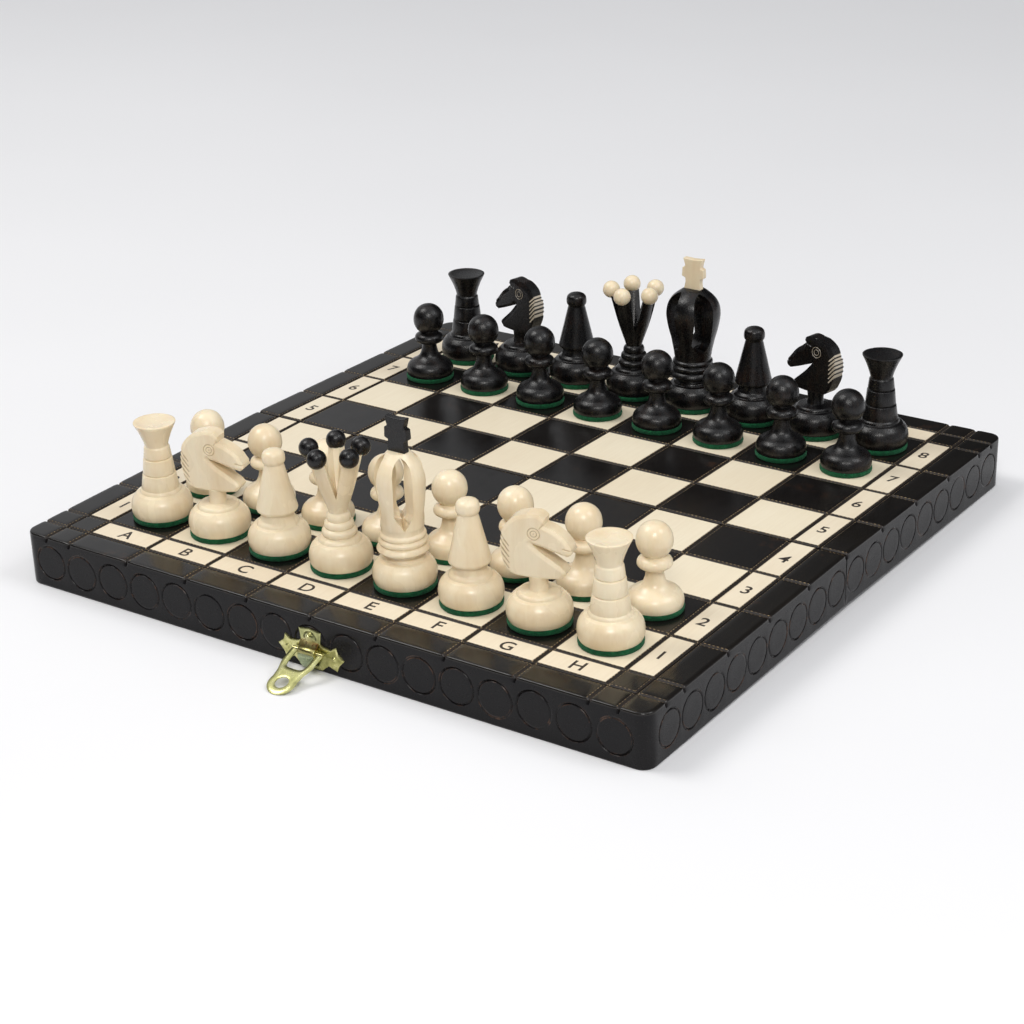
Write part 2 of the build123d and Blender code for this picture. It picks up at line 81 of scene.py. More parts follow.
class Paint:
    """A small helper that builds one node material."""

    def __init__(self, name):
        self.mat = bpy.data.materials.new(name)
        self.mat.use_nodes = True
        self.tree = self.mat.node_tree
        self.tree.nodes.clear()
        self.out = self.tree.nodes.new("ShaderNodeOutputMaterial")
        self.bsdf = self.tree.nodes.new("ShaderNodeBsdfPrincipled")
        self.tree.links.new(self.bsdf.outputs[0], self.out.inputs[0])

    def put(self, socket, value):
        if isinstance(value, bpy.types.NodeSocket):
            self.tree.links.new(value, socket)
        else:
            socket.default_value = value

    def node(self, kind, ins=None, **props):
        n = self.tree.nodes.new(kind)
        for k, v in props.items():
            setattr(n, k, v)
        for k, v in (ins or {}).items():
            self.put(n.inputs[k], v)
        return n

    def set(self, **ins):
        for k, v in ins.items():
            self.put(self.bsdf.inputs[k.replace("_", " ")], v)

    def coords(self, scale=(1, 1, 1), jitter=True):
        """Object coordinates in metres, shifted at random from one object to the next."""
        v = self.node("ShaderNodeTexCoord").outputs["Object"]
        if jitter:
            r = self.node("ShaderNodeObjectInfo").outputs["Random"]
            shift = self.math("MULTIPLY", r, 37.0)
            v = self.node("ShaderNodeVectorMath", {0: v, 1: shift}, operation="ADD").outputs[0]
        m = self.node("ShaderNodeMapping", {"Vector": v, "Scale": scale})
        return m.outputs[0]

    def noise(self, vec, scale, detail=3.0, rough=0.55, distortion=0.0):
        n = self.node("ShaderNodeTexNoise", {"Vector": vec, "Scale": scale, "Detail": detail,
                                             "Roughness": rough, "Distortion": distortion})
        return n.outputs["Fac"]

    def ramp(self, fac, stops):
        n = self.node("ShaderNodeValToRGB", {"Fac": fac})
        while len(n.color_ramp.elements) < len(stops):
            n.color_ramp.elements.new(0.5)
        for e, (pos, col) in zip(n.color_ramp.elements, stops):
            e.position = pos
            e.color = (*col, 1)
        return n.outputs["Color"]

    def range(self, value, a, b, c, d):
        n = self.node("ShaderNodeMapRange", {"Value": value, "From Min": a, "From Max": b,
                                             "To Min": c, "To Max": d})
        return n.outputs["Result"]

    def math(self, op, a, b=0.0, clamp=False):
        n = self.node("ShaderNodeMath", operation=op, use_clamp=clamp)
        self.put(n.inputs[0], a)
        self.put(n.inputs[1], b)
        return n.outputs[0]

    def blend(self, a, share_a, b, share_b):
        """a and b added in the given shares."""
        return self.math("ADD", self.math("MULTIPLY", a, share_a), self.math("MULTIPLY", b, share_b))

    def mix(self, fac, a, b):
        n = self.node("ShaderNodeMix", data_type="RGBA")
        self.put(n.inputs["Factor"], fac)
        self.put(n.inputs[6], a if isinstance(a, bpy.types.NodeSocket) else (*a, 1))
        self.put(n.inputs[7], b if isinstance(b, bpy.types.NodeSocket) else (*b, 1))
        return n.outputs[2]

    def bump(self, height, distance, strength):
        ins = {"Height": height, "Distance": distance, "Strength": strength}
        return self.node("ShaderNodeBump", ins).outputs[0]

    def marks(self):
        """The three painted marks that a mesh carries, whose meaning each material sets."""
        a = self.node("ShaderNodeAttribute", attribute_name="marks")
        s = self.node("ShaderNodeSeparateColor", {"Color": a.outputs["Color"]})
        return s.outputs[0], s.outputs[1], s.outputs[2]


def pale_wood(name, low, high, gloss):
    """Bleached, lacquered hornbeam: faint streaks along the grain, with brown painted shade in the carved hollows.
    """
    p = Paint(name)
    v = p.coords((1, 1, 0.10))
    streak = p.noise(v, 520.0, 4, 0.6, 0.3)
    cloud = p.noise(p.coords((1, 1, 0.5)), 70.0, 3, 0.5)
    fine = p.noise(v, 2600.0, 2, 0.5)
    middle = [(a + 2 * b) / 3 for a, b in zip(low, high)]
    colour = p.ramp(p.blend(streak, 0.22, cloud, 0.78), [(0.30, low), (0.52, middle), (0.72, high)])
    colour = p.mix(p.range(fine, 0.64, 0.74, 0.0, 0.10), colour, [c * 0.5 for c in low])
    bare_wood_and_cut_shade = p.marks()[0]
    # painted shade: the cut mark darkens the carved eye ring, mane cuts and nicks brown
    colour = p.mix(p.math("MULTIPLY", bare_wood_and_cut_shade, 0.6), colour, (0.36, 0.25, 0.13))
    p.set(Base_Color=colour, Roughness=p.range(cloud, 0.3, 0.7, gloss - 0.06, gloss + 0.06), IOR=1.5)
    p.set(Normal=p.bump(p.blend(streak, 1.0, fine, 0.5), 0.00005, 0.35))
    p.set(Subsurface_Weight=0.12, Subsurface_Radius=(1.0, 0.6, 0.3), Subsurface_Scale=0.0012)
    return p.mat


def black_wood(name, gloss=0.27, base=(0.0026, 0.0024, 0.0028), brown=(0.020, 0.009, 0.005)):
    """Black stain under lacquer: open pores break up the highlights, brown shows on worn places."""
    p = Paint(name)
    streak = p.noise(p.coords((1, 1, 0.2)), 700.0, 4, 0.6, 0.4)
    cloud = p.noise(p.coords(), 110.0, 4, 0.6)
    pore = p.noise(p.coords((1, 1, 0.5)), 2000.0, 4, 0.7)
    rub = p.range(p.blend(streak, 0.45, cloud, 0.55), 0.5, 0.72, 0, 0.7)
    colour = p.mix(rub, base, brown)
    bare_wood_and_cut_shade = p.marks()[0]
    colour = p.mix(p.range(bare_wood_and_cut_shade, 0.45, 0.8, 0.0, 0.9), colour, (0.66, 0.58, 0.46))
    p.set(Base_Color=colour, Roughness=p.range(pore, 0.34, 0.66, gloss - 0.12, gloss + 0.16), IOR=1.45)
    p.set(Normal=p.bump(p.blend(pore, 1.0, streak, 0.6), 0.00009, 0.8))
    return p.mat


def square_paint(name, low, high, gloss, dark):
    """A square or strip of the panel, burnt brown towards the grooves."""
    p = Paint(name)
    streak = p.noise(p.coords((1, 0.06, 1), jitter=False), 700.0, 5, 0.6, 0.8)
    cloud = p.noise(p.coords(jitter=False), 14.0, 3, 0.5)
    mottle = p.noise(p.coords(jitter=False), 160.0, 3, 0.6)
    colour = p.ramp(p.blend(streak, 0.4, cloud, 0.6), [(0.3, low), (0.7, high)])
    across, along, _ = p.marks()
    burn = p.math("MAXIMUM", across, along)
    patchy = p.range(mottle, 0.3, 0.6, 0.45, 1.0)
    edge = p.math("MULTIPLY", p.range(burn, 0.12, 0.7, 0.0, 1.0), patchy, clamp=True)
    if dark:
        scuff = p.math("MULTIPLY", p.range(burn, 0.02, 0.3, 0.0, 1.0), p.range(mottle, 0.5, 0.62, 0.0, 0.8))
        spots = p.range(p.noise(p.coords(jitter=False), 60.0, 5, 0.7), 0.62, 0.75, 0.0, 0.7)
        colour = p.mix(p.math("MAXIMUM", scuff, spots), colour, (0.045, 0.022, 0.012))
    colour = p.mix(edge, colour, (0.045, 0.026, 0.014) if not dark else (0.012, 0.008, 0.006))
    p.set(Base_Color=colour, Roughness=p.range(mottle, 0.3, 0.7, gloss - 0.03, gloss + 0.05), IOR=1.42)
    p.set(Normal=p.bump(p.blend(streak, 1.0, mottle, 0.7), 0.00005, 0.45))
    return p.mat


DASH_PITCH = 0.0021


def groove_paint(name):
    """The burnt lines: near-black with the tan dashes of a knurled wheel along both edges."""
    p = Paint(name)
    pos = p.node("ShaderNodeSeparateXYZ", {"Vector": p.node("ShaderNodeTexCoord").outputs["Object"]})
    across, along, _ = p.marks()
    rough = p.noise(p.coords(jitter=False), 420.0, 3, 0.6)
    wave = 2 * math.pi / DASH_PITCH
    x, y = pos.outputs[0], pos.outputs[1]
    dashes = []
    for mark, lane, side in ((across, y, x), (along, x, y)):
        phase = p.blend(lane, wave, side, wave * 0.45)
        tooth = p.range(p.math("SINE", phase), -0.1, 0.35, 0.0, 1.0)
        lip = p.range(p.math("ABSOLUTE", p.math("SUBTRACT", mark, 0.5)), 0.1, 0.26, 1.0, 0.0)
        dashes.append(p.math("MULTIPLY", tooth, lip))
    worn = p.range(rough, 0.38, 0.6, 0.15, 1.0)
    dash = p.math("MULTIPLY", p.math("MAXIMUM", *dashes), worn, clamp=True)
    burnt = p.ramp(rough, [(0.3, (0.006, 0.004, 0.003)), (0.75, (0.022, 0.014, 0.009))])
    p.set(Base_Color=p.mix(dash, burnt, (0.50, 0.36, 0.19)), Roughness=0.55, IOR=1.45)
    p.set(Normal=p.bump(p.blend(dash, 1.0, rough, 0.5), 0.0002, 0.8))
    return p.mat


def frame_paint(name, gloss=0.23):
    """Black-stained rails: satin, with warm brown rubbed rims on the stamped rings and lines."""
    p = Paint(name)
    streak = p.noise(p.coords((0.08, 1, 1), jitter=False), 420.0, 4, 0.6, 0.6)
    fine = p.noise(p.coords(jitter=False), 900.0, 3, 0.6)
    cloud = p.noise(p.coords(jitter=False), 22.0, 4, 0.6)
    spots = p.noise(p.coords(jitter=False), 170.0, 5, 0.7)
    across, along, ring = p.marks()
    colour = p.ramp(cloud, [(0.3, (0.004, 0.0038, 0.0048)), (0.7, (0.007, 0.006, 0.0065))])
    lip = p.range(p.math("ABSOLUTE", p.math("SUBTRACT", ring, 0.35)), 0.1, 0.3, 1.0, 0.0)
    colour = p.mix(p.math("MULTIPLY", lip, p.range(spots, 0.5, 0.66, 0.0, 0.9)), colour, (0.10, 0.055, 0.035))
    line = p.range(p.math("MAXIMUM", across, along), 0.4, 0.9, 0.0, 0.8)
    deep = p.math("MAXIMUM", p.range(ring, 0.55, 0.9, 0.0, 0.85), line)
    colour = p.mix(deep, colour, (0.006, 0.0045, 0.004))
    p.set(Base_Color=colour, Roughness=p.range(fine, 0.3, 0.7, gloss - 0.05, gloss + 0.07), IOR=1.29)
    p.set(Normal=p.bump(p.blend(streak, 1.0, fine, 0.5), 0.00006, 0.5))
    return p.mat


def felt_paint(name):
    """Matted green felt."""
    p = Paint(name)
    v = p.coords()
    fibre = p.noise(v, 1500.0, 5, 0.75, 1.2)
    lump = p.noise(v, 420.0, 4, 0.7)
    colour = p.ramp(p.blend(fibre, 0.6, lump, 0.4), [(0.38, (0.0, 0.018, 0.007)), (0.62, (0.006, 0.12, 0.042))])
    p.set(Base_Color=colour, Roughness=0.95, IOR=1.35)
    p.set(Sheen_Weight=0.25, Sheen_Roughness=0.5, Sheen_Tint=(0.3, 0.8, 0.5, 1))
    p.set(Normal=p.bump(p.math("ADD", fibre, lump), 0.0005, 0.8))
    return p.mat


def brass_paint(name):
    """Thin stamped brass, yellow-green and blotchy; its marks are rust, grey-green tarnish and near-black painted
    shade in the slot round the top tab.
    """
    p = Paint(name)
    v = p.coords(jitter=False)
    blotch = p.noise(v, 260.0, 4, 0.65)
    fine = p.noise(v, 1800.0, 3, 0.6)
    tones = [(0.3, (0.34, 0.33, 0.12)), (0.5, (0.55, 0.53, 0.22)), (0.72, (0.78, 0.75, 0.40))]
    rust, tarnish, slot_shade = p.marks()
    patch = p.range(p.noise(v, 520.0, 5, 0.75), 0.42, 0.6, 0.2, 1.0)
    colour = p.mix(tarnish, p.ramp(blotch, tones), (0.30, 0.37, 0.25))
    colour = p.mix(p.math("MULTIPLY", rust, patch), colour, (0.30, 0.11, 0.03))
    # painted shade: the third mark darkens the slot round the top tab
    colour = p.mix(slot_shade, colour, (0.03, 0.028, 0.02))
    p.set(Base_Color=colour, Metallic=1.0, Roughness=p.range(blotch, 0.3, 0.7, 0.36, 0.22))
    p.set(Normal=p.bump(p.blend(fine, 1.0, blotch, 0.8), 0.00004, 0.5))
    return p.mat


def ink_paint(name):
    """The burnt letters and numbers."""
    p = Paint(name)
    grain = p.noise(p.coords(jitter=False), 900.0, 3, 0.6)
    colour = p.ramp(grain, [(0.3, (0.010, 0.008, 0.007)), (0.75, (0.05, 0.036, 0.026))])
    p.set(Base_Color=colour, Roughness=0.6)
    p.set(Normal=p.bump(grain, 0.0001, 0.5))
    return p.mat


def floor_paint(name):
    """A plain pale floor."""
    p = Paint(name)
    cloud = p.noise(p.coords(jitter=False), 3.0, 2, 0.5)
    p.set(Base_Color=p.ramp(cloud, [(0.3, (0.86, 0.86, 0.875)), (0.7, (0.88, 0.88, 0.895))]), Roughness=0.7)
    return p.mat


WOOD_WHITE = pale_wood("pale_lacquered_wood", (0.78, 0.62, 0.40), (0.90, 0.79, 0.58), 0.26)
WOOD_BLACK = black_wood("black_lacquered_wood")
SQUARE_LIGHT = square_paint("light_square", (0.78, 0.67, 0.49), (0.87, 0.78, 0.60), 0.36, False)
STRIP_LIGHT = square_paint("light_strip", (0.76, 0.64, 0.47), (0.87, 0.78, 0.61), 0.38, False)
SQUARE_DARK = square_paint("dark_square", (0.004, 0.0038, 0.0042), (0.010, 0.008, 0.007), 0.2, True)
RAIL_TOP = square_paint("black_rail_top", (0.004, 0.0038, 0.0042), (0.012, 0.010, 0.008), 0.17, True)
GROOVE = groove_paint("burnt_groove")
RAIL = frame_paint("black_rail")
FELT_GREEN = felt_paint("green_felt_pad")
BRASS = brass_paint("stamped_brass")
INK = ink_paint("burnt_letter")
WOODS = {WHITE: WOOD_WHITE, BLACK: WOOD_BLACK}
SLOTS = {WHITE: "natural_wood", BLACK: "black_wood"}


# ---- mesh helpers ---------------------------------------------------------------------------

def add_object(name, mesh, matrix, body, nodes=()):
    """A piece that rides a body, and stands in for CAD nodes."""
    obj = bpy.data.objects.new(name, mesh)
    bpy.context.collection.objects.link(obj)
    obj.matrix_world = matrix
    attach(obj, body)
    if nodes:
        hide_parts(*nodes)
    return obj


def to_mesh(name, verts, faces, mats, indices=None, marks=None, sharp=38.0, weld=None):
    """verts in millimetres; marks is one (r, g, b) per vertex."""
    mesh = bpy.data.meshes.new(name)
    mesh.from_pydata([(x * MM, y * MM, z * MM) for x, y, z in verts], [], faces)
    for m in mats:
        mesh.materials.append(m)
    if indices:
        mesh.polygons.foreach_set("material_index", indices)
    if marks:
        layer = mesh.attributes.new("marks", "FLOAT_COLOR", "POINT")
        layer.data.foreach_set("color", [c for m in marks for c in (*m, 1.0)])
    if weld is not None:
        bm = bmesh.new()
        bm.from_mesh(mesh)
        bmesh.ops.remove_doubles(bm, verts=bm.verts, dist=weld * MM)
        bmesh.ops.recalc_face_normals(bm, faces=bm.faces)
        bm.to_mesh(mesh)
        bm.free()
    mesh.polygons.foreach_set("use_smooth", [True] * len(mesh.polygons))
    mesh.set_sharp_from_angle(angle=math.radians(sharp))
    mesh.update()
    return mesh


def catmull(points, step):
    """A smooth line through the points, sampled about every step."""
    if len(points) == 2:
        return list(points)
    pts = [tuple(2 * a - b for a, b in zip(points[0], points[1]))] + list(points)
    pts.append(tuple(2 * a - b for a, b in zip(points[-1], points[-2])))
    out = [points[0]]
    for i in range(1, len(pts) - 2):
        p0, p1, p2, p3 = pts[i - 1:i + 3]
        n = max(2, int(math.dist(p1, p2) / step))
        for k in range(1, n + 1):
            t = k / n
            out.append(tuple(0.5 * (2 * b + (c - a) * t + (2 * a - 5 * b + 4 * c - d) * t * t
                                    + (3 * b - a - 3 * c + d) * t ** 3)
                             for a, b, c, d in zip(p0, p1, p2, p3)))
    return out


def run_line(runs, step=0.7, ease=0.28):
    """Joins runs of points and eases each sharp corner with three short cuts."""
    line = []
    for run in runs:
        pts = catmull(run, step)
        line.extend(pts if not line else pts[1:])
    out = [line[0]]
    for a, b, c in zip(line, line[1:], line[2:]):
        u = (b[0] - a[0], b[1] - a[1])
        v = (c[0] - b[0], c[1] - b[1])
        lu, lv = math.hypot(*u), math.hypot(*v)
        if lu < 1e-6 or lv < 1e-6:
            continue
        turn = abs(math.atan2(u[0] * v[1] - u[1] * v[0], u[0] * v[0] + u[1] * v[1]))
        if turn < 0.4:
            out.append(b)
            continue
        e = min(ease, lu * 0.4, lv * 0.4)
        p = (b[0] - u[0] / lu * e, b[1] - u[1] / lu * e)
        q = (b[0] + v[0] / lv * e, b[1] + v[1] / lv * e)
        mid = ((p[0] + q[0]) / 4 + b[0] / 2, (p[1] + q[1]) / 4 + b[1] / 2)
        out.extend([p, mid, q])
    out.append(line[-1])
    return out


def lathe(profile, segments=88, wobble=0.0, seed=0.0):
    """Turns a line of (radius, height) about Z."""
    verts, faces, rings = [], [], []
    for r, z in profile:
        if r < 1e-4:
            rings.append([len(verts)])
            verts.append((0, 0, z))
            continue
        ring = []
        for k in range(segments):
            a = 2 * math.pi * k / segments
            off = wobble * noise.noise(Vector((math.cos(a) * 1.5, math.sin(a) * 1.5, z * 0.12 + seed)))
            ring.append(len(verts))
            verts.append(((r + off) * math.cos(a), (r + off) * math.sin(a), z))
        rings.append(ring)
    for lo, hi in zip(rings, rings[1:]):
        if len(lo) == 1 and len(hi) == 1:
            continue
        if len(lo) == 1:
            faces += [(lo[0], hi[(k + 1) % segments], hi[k]) for k in range(segments)]
        elif len(hi) == 1:
            faces += [(lo[k], lo[(k + 1) % segments], hi[0]) for k in range(segments)]
        else:
            faces += [(lo[k], lo[(k + 1) % segments], hi[(k + 1) % segments], hi[k]) for k in range(segments)]
    return verts, faces


def shifted(faces, n):
    return [tuple(i + n for i in f) for f in faces]


def join_parts(parts):
    """One (verts, faces) from several."""
    verts, faces = [], []
    for part_verts, part_faces in parts:
        faces += shifted(part_faces, len(verts))
        verts += part_verts
    return verts, faces


def close_sheet(tris, n):
    """Faces of a sheet whose back has the same points n later: front, back and the rim between them."""
    lone = {}
    for t in tris:
        for a, b in zip(t, list(t[1:]) + [t[0]]):
            key = (min(a, b), max(a, b))
            lone[key] = None if key in lone else (a, b)
    faces = [tuple(t) for t in tris] + [tuple(i + n for i in reversed(t)) for t in tris]
    return faces + [(b, a, a + n, b + n) for a, b in filter(None, lone.values())]


def segment_distance(p, a, b):
    """(distance, share along) from p to the segment a-b."""
    dx, dy = b[0] - a[0], b[1] - a[1]
    t = max(0.0, min(1.0, ((p[0] - a[0]) * dx + (p[1] - a[1]) * dy) / (dx * dx + dy * dy)))
    return math.hypot(p[0] - a[0] - t * dx, p[1] - a[1] - t * dy), t


def inside(p, outline):
    hit = False
    for (x0, z0), (x1, z1) in zip(outline, outline[1:] + outline[:1]):
        if (z0 > p[1]) != (z1 > p[1]) and p[0] < x0 + (p[1] - z0) * (x1 - x0) / (z1 - z0):
            hit = not hit
    return hit


def loop_edges(start, count):
    return [(start + k, start + (k + 1) % count) for k in range(count)]


def triangulate(points, rims, kind=1):
    """The flat points and triangles inside the rims; kind 2 keeps what lies in an inner rim too."""
    flat, _, tris, _, _, _ = geometry.delaunay_2d_cdt([Vector(q) for q in points], rims, [], kind, 1e-5)
    return [(v.x, v.y) for v in flat], tris


def circle(centre, radius, count):
    turns = [2 * math.pi * k / count for k in range(count)]
    return [(centre[0] + radius * math.cos(a), centre[1] + radius * math.sin(a)) for a in turns]


# ---- the board: top surface ------------------------------------------------------------------

# distance from a line's middle, depth of the cut, and how burnt the wood is
GROOVE_CUT = [(0.0, 0.8, 1.0), (0.36, 0.72, 1.0), (0.72, 0.46, 0.92), (1.0, 0.08, 0.66), (1.3, 0.0, 0.3),
              (1.9, 0.0, 0.0), (2.6, 0.0, 0.0), (3.6, 0.0, 0.0)]
GROOVE_HALF = 1.25
SHOULDER = 3.6
FLAT_STEP = 9.0
CORNER_STEPS = 10
X_LINES = [k * SQUARE for k in range(-4, 5)] + [-STRIP_OUT, STRIP_OUT]
Y_LINES = [k * SQUARE for k in range(0, 5)] + [STRIP_OUT]
# the rolled rim: reach past STRAIGHT, drop below the top, and how much of a groove's depth bites in
RIM_ROWS = [(2.0, 0.0, 1.0), (4.0, 0.0, 1.05), (5.5, 0.0, 1.2), (5.98, 0.10, 1.5), (6.3, 0.36, 1.75),
            (6.46, 0.72, 1.8), (6.5, 1.2, 1.6), (6.5, 1.9, 0.9), (6.5, 3.0, 0.0)]


def groove_at(d):
    """(depth, burn) at a distance d from a line's middle."""
    d = abs(d)
    for (d0, h0, b0), (d1, h1, b1) in zip(GROOVE_CUT, GROOVE_CUT[1:]):
        if d <= d1:
            t = (d - d0) / (d1 - d0)
            return h0 + (h1 - h0) * t, b0 + (b1 - b0) * t
    return 0.0, 0.0


def shoulder(d):
    """How far a rail's top rounds down towards a line, at a distance d from its middle."""
    return max(groove_at(d)[0], 0.34 * max(0.0, 1 - abs(d) / SHOULDER) ** 2)


def line_stations(lines, lo, hi, fill):
    """Grid stations from lo to hi: close together across each line, fill apart between them."""
    marks = {lo, hi}
    for c in lines:
        for d, _, _ in GROOVE_CUT:
            for s in (-1, 1):
                if lo <= c + s * d <= hi:
                    marks.add(round(c + s * d, 4))
    marks = sorted(marks)
    out = [marks[0]]
    for a, b in zip(marks, marks[1:]):
        n = max(1, round((b - a) / fill))
        out += [a + (b - a) * k / n for k in range(1, n + 1)]
    return out


def top_kind(side, x, y):
    """Which finish the top has at (x, y) in the half's own frame."""
    ax = abs(x)
    if min(abs(x - c) for c in X_LINES) < GROOVE_HALF and y < STRAIGHT + 5 and ax < STRAIGHT + 5:
        return "groove"
    if min(abs(y - c) for c in Y_LINES) < GROOVE_HALF and ax < STRAIGHT + 5:
        return "groove"
    if ax > STRIP_OUT or y > STRIP_OUT or (ax > STRIP_IN and y > STRIP_IN):
        return "rail"
    if ax > STRIP_IN or y > STRIP_IN:
        return "strip"
    column = int((x + STRIP_IN) // SQUARE)
    row = int(y // SQUARE)
    file_index = column if side == BLACK else 7 - column
    rank = 5 + row if side == BLACK else 4 - row
    return "dark" if (file_index + rank) % 2 else "light"


def top_vertex(px, py, drop, nick, out_x, out_y):
    """A point of the top with its groove depth; on the rim the groove bites inwards too."""
    dx, bx = min((groove_at(px - c) for c in X_LINES), key=lambda g: -g[0])
    dy, by = min((groove_at(py - c) for c in Y_LINES), key=lambda g: -g[0])
    wob = 0.10 * noise.noise(Vector((px * 0.09, py * 0.09, 3.0)))
    if max(abs(px), py) > STRIP_OUT - 0.5:
        dx = max(dx, shoulder(min(abs(px - c) for c in X_LINES)))
        dy = max(dy, shoulder(min(abs(py - c) for c in Y_LINES)))
    if drop is None:
        return (px + wob * (bx > 0.1), py + wob * (by > 0.1), HEIGHT - max(dx, dy)), (bx, by, 0)
    depth = (dx if out_y else dy) * nick
    lean = min(1.0, drop / 1.0)
    burn = (bx if out_y else by) * (nick > 0) * 0.9
    point = (px - out_x * depth * lean, py - out_y * depth * lean, HEIGHT - drop - depth * (1 - lean))
    return point, ((burn, 0, 0) if out_y else (0, burn, 0))


def top_surface(side):
    """The top of a half with its rim: vertices, faces, (finish, x, y) of each face, and marks."""
    xs = line_stations(X_LINES, -STRAIGHT, STRAIGHT, FLAT_STEP)
    ys = line_stations(Y_LINES, SEAM, STRAIGHT, FLAT_STEP)
    reach = [0.0] + [row[0] for row in RIM_ROWS]
    rows = range(-1, len(RIM_ROWS) - 1)
    verts, marks, index, faces, kinds = [], [], {}, [], []

    def vert(key, data):
        if key not in index:
            index[key] = len(verts)
            verts.append(data[0])
            marks.append(data[1])
        return index[key]

    def quad(face, x, y):
        faces.append(face)
        kinds.append((top_kind(side, x, y), x, y))

    def flat(x, y):
        return vert(("flat", round(x, 3), round(y, 3)), top_vertex(x, y, None, 0, 0, 0))

    def rim(s, k, t):
        """Rim row k at station t, along the side edge at s (-1 or 1) or along the outer edge (s 0)."""
        r, drop, nick = RIM_ROWS[k] if k >= 0 else (0.0, 0.0, 0.0)
        x, y = (s * (STRAIGHT + r), t) if s else (t, STRAIGHT + r)
        if k < 0:
            return flat(x, y)
        return vert(("rim", s, k, round(t, 3)), top_vertex(x, y, drop or None, nick, s, int(not s)))

    def corner(s, k, j):
        if k < 0:
            return flat(s * STRAIGHT, STRAIGHT)
        if j == 0:
            return rim(s, k, STRAIGHT)
        if j == CORNER_STEPS:
            return rim(0, k, s * STRAIGHT)
        r, drop, _ = RIM_ROWS[k]
        a = math.pi / 2 * j / CORNER_STEPS
        point = (s * (STRAIGHT + r * math.cos(a)), STRAIGHT + r * math.sin(a), HEIGHT - drop)
        return vert(("corner", s, k, j), (point, (0, 0, 0)))

    for x0, x1 in zip(xs, xs[1:]):
        for y0, y1 in zip(ys, ys[1:]):
            quad((flat(x0, y0), flat(x1, y0), flat(x1, y1), flat(x0, y1)), (x0 + x1) / 2, (y0 + y1) / 2)
    for s in (-1, 1):
        for k in rows:
            r = STRAIGHT + (reach[k + 1] + reach[k + 2]) / 2
            for y0, y1 in zip(ys, ys[1:]):
                f = (rim(s, k, y0), rim(s, k + 1, y0), rim(s, k + 1, y1), rim(s, k, y1))
                quad(f if s > 0 else f[::-1], s * r, (y0 + y1) / 2)
    for k in rows:
        r = STRAIGHT + (reach[k + 1] + reach[k + 2]) / 2
        for x0, x1 in zip(xs, xs[1:]):
            quad((rim(0, k, x0), rim(0, k, x1), rim(0, k + 1, x1), rim(0, k + 1, x0)), (x0 + x1) / 2, r)
    mid_x, mid_y = (STRAIGHT + 3 * f(math.pi / 4) for f in (math.cos, math.sin))
    for s in (-1, 1):
        for k in rows:
            for j in range(CORNER_STEPS):
                f = [corner(s, k, j), corner(s, k + 1, j), corner(s, k + 1, j + 1), corner(s, k, j + 1)]
                f = [v for i, v in enumerate(f) if v not in f[:i]]
                faces.append(tuple(f if s > 0 else f[::-1]))
                past_mitre = 1.0001 if j < CORNER_STEPS / 2 else 1
                kinds.append(("rail", s * mid_x * past_mitre, mid_y))
    return verts, faces, kinds, marks


# ---- the board: outer walls with stamped rings, drawn unrolled -------------------------------

ARC = math.pi / 2 * CORNER
WALL_TOP = HEIGHT - 3.0
WALL_LOW = 1.0
WALL_STEPS = 12
BEND_STEPS = 6
SIDE_RINGS, SIDE_PITCH, SIDE_RADIUS = 9, 18.6, 8.95
OUTER_RINGS, OUTER_RADIUS = 17, 9.3
# offset from the ring's radius, depth, and how burnt the wood is
RING_LOOPS = [(0.22, 0.0, 0.0), (0.0, 0.02, 0.35), (-0.18, 0.30, 0.7), (-0.5, 0.52, 1.0),
              (-0.85, 0.34, 0.7), (-1.05, 0.03, 0.35), (-1.35, 0.0, 0.0)]
DISH = [(0.55, 0.04), (0.25, 0.04)]


def wall_point(s, z, depth):
    """A point of the outer wall: s runs from the seam round both corners to the seam again."""
    if s <= STRAIGHT:
        return (HALF - depth, s, z)
    s -= STRAIGHT
    if s <= ARC:
        a = s / CORNER
        return (STRAIGHT + (CORNER - depth) * math.cos(a), STRAIGHT + (CORNER - depth) * math.sin(a), z)
    s -= ARC
    if s <= 2 * STRAIGHT:
        return (STRAIGHT - s, HALF - depth, z)
    s -= 2 * STRAIGHT
    if s <= ARC:
        a = math.pi / 2 + s / CORNER
        return (-STRAIGHT + (CORNER - depth) * math.cos(a), STRAIGHT + (CORNER - depth) * math.sin(a), z)
    return (-HALF + depth, STRAIGHT - (s - ARC), z)


def cells(start, length, count, radius=0.0):
    return [(start + length * k / count, start + length * (k + 1) / count, radius) for k in range(count)]


def wall_cells():
    """(start, end, ring radius or 0) along the unrolled wall, from seam to seam."""
    rings = SIDE_PITCH * SIDE_RINGS
    plain = STRAIGHT - SEAM - rings
    outer = STRAIGHT + ARC
    far = outer + 2 * STRAIGHT
    return (cells(SEAM, rings, SIDE_RINGS, SIDE_RADIUS) + cells(SEAM + rings, plain, 1)
            + cells(STRAIGHT, ARC, BEND_STEPS) + cells(outer, 2 * STRAIGHT, OUTER_RINGS, OUTER_RADIUS)
            + cells(far, ARC, BEND_STEPS) + cells(far + ARC, plain, 1)
            + cells(far + ARC + plain, rings, SIDE_RINGS, SIDE_RADIUS))


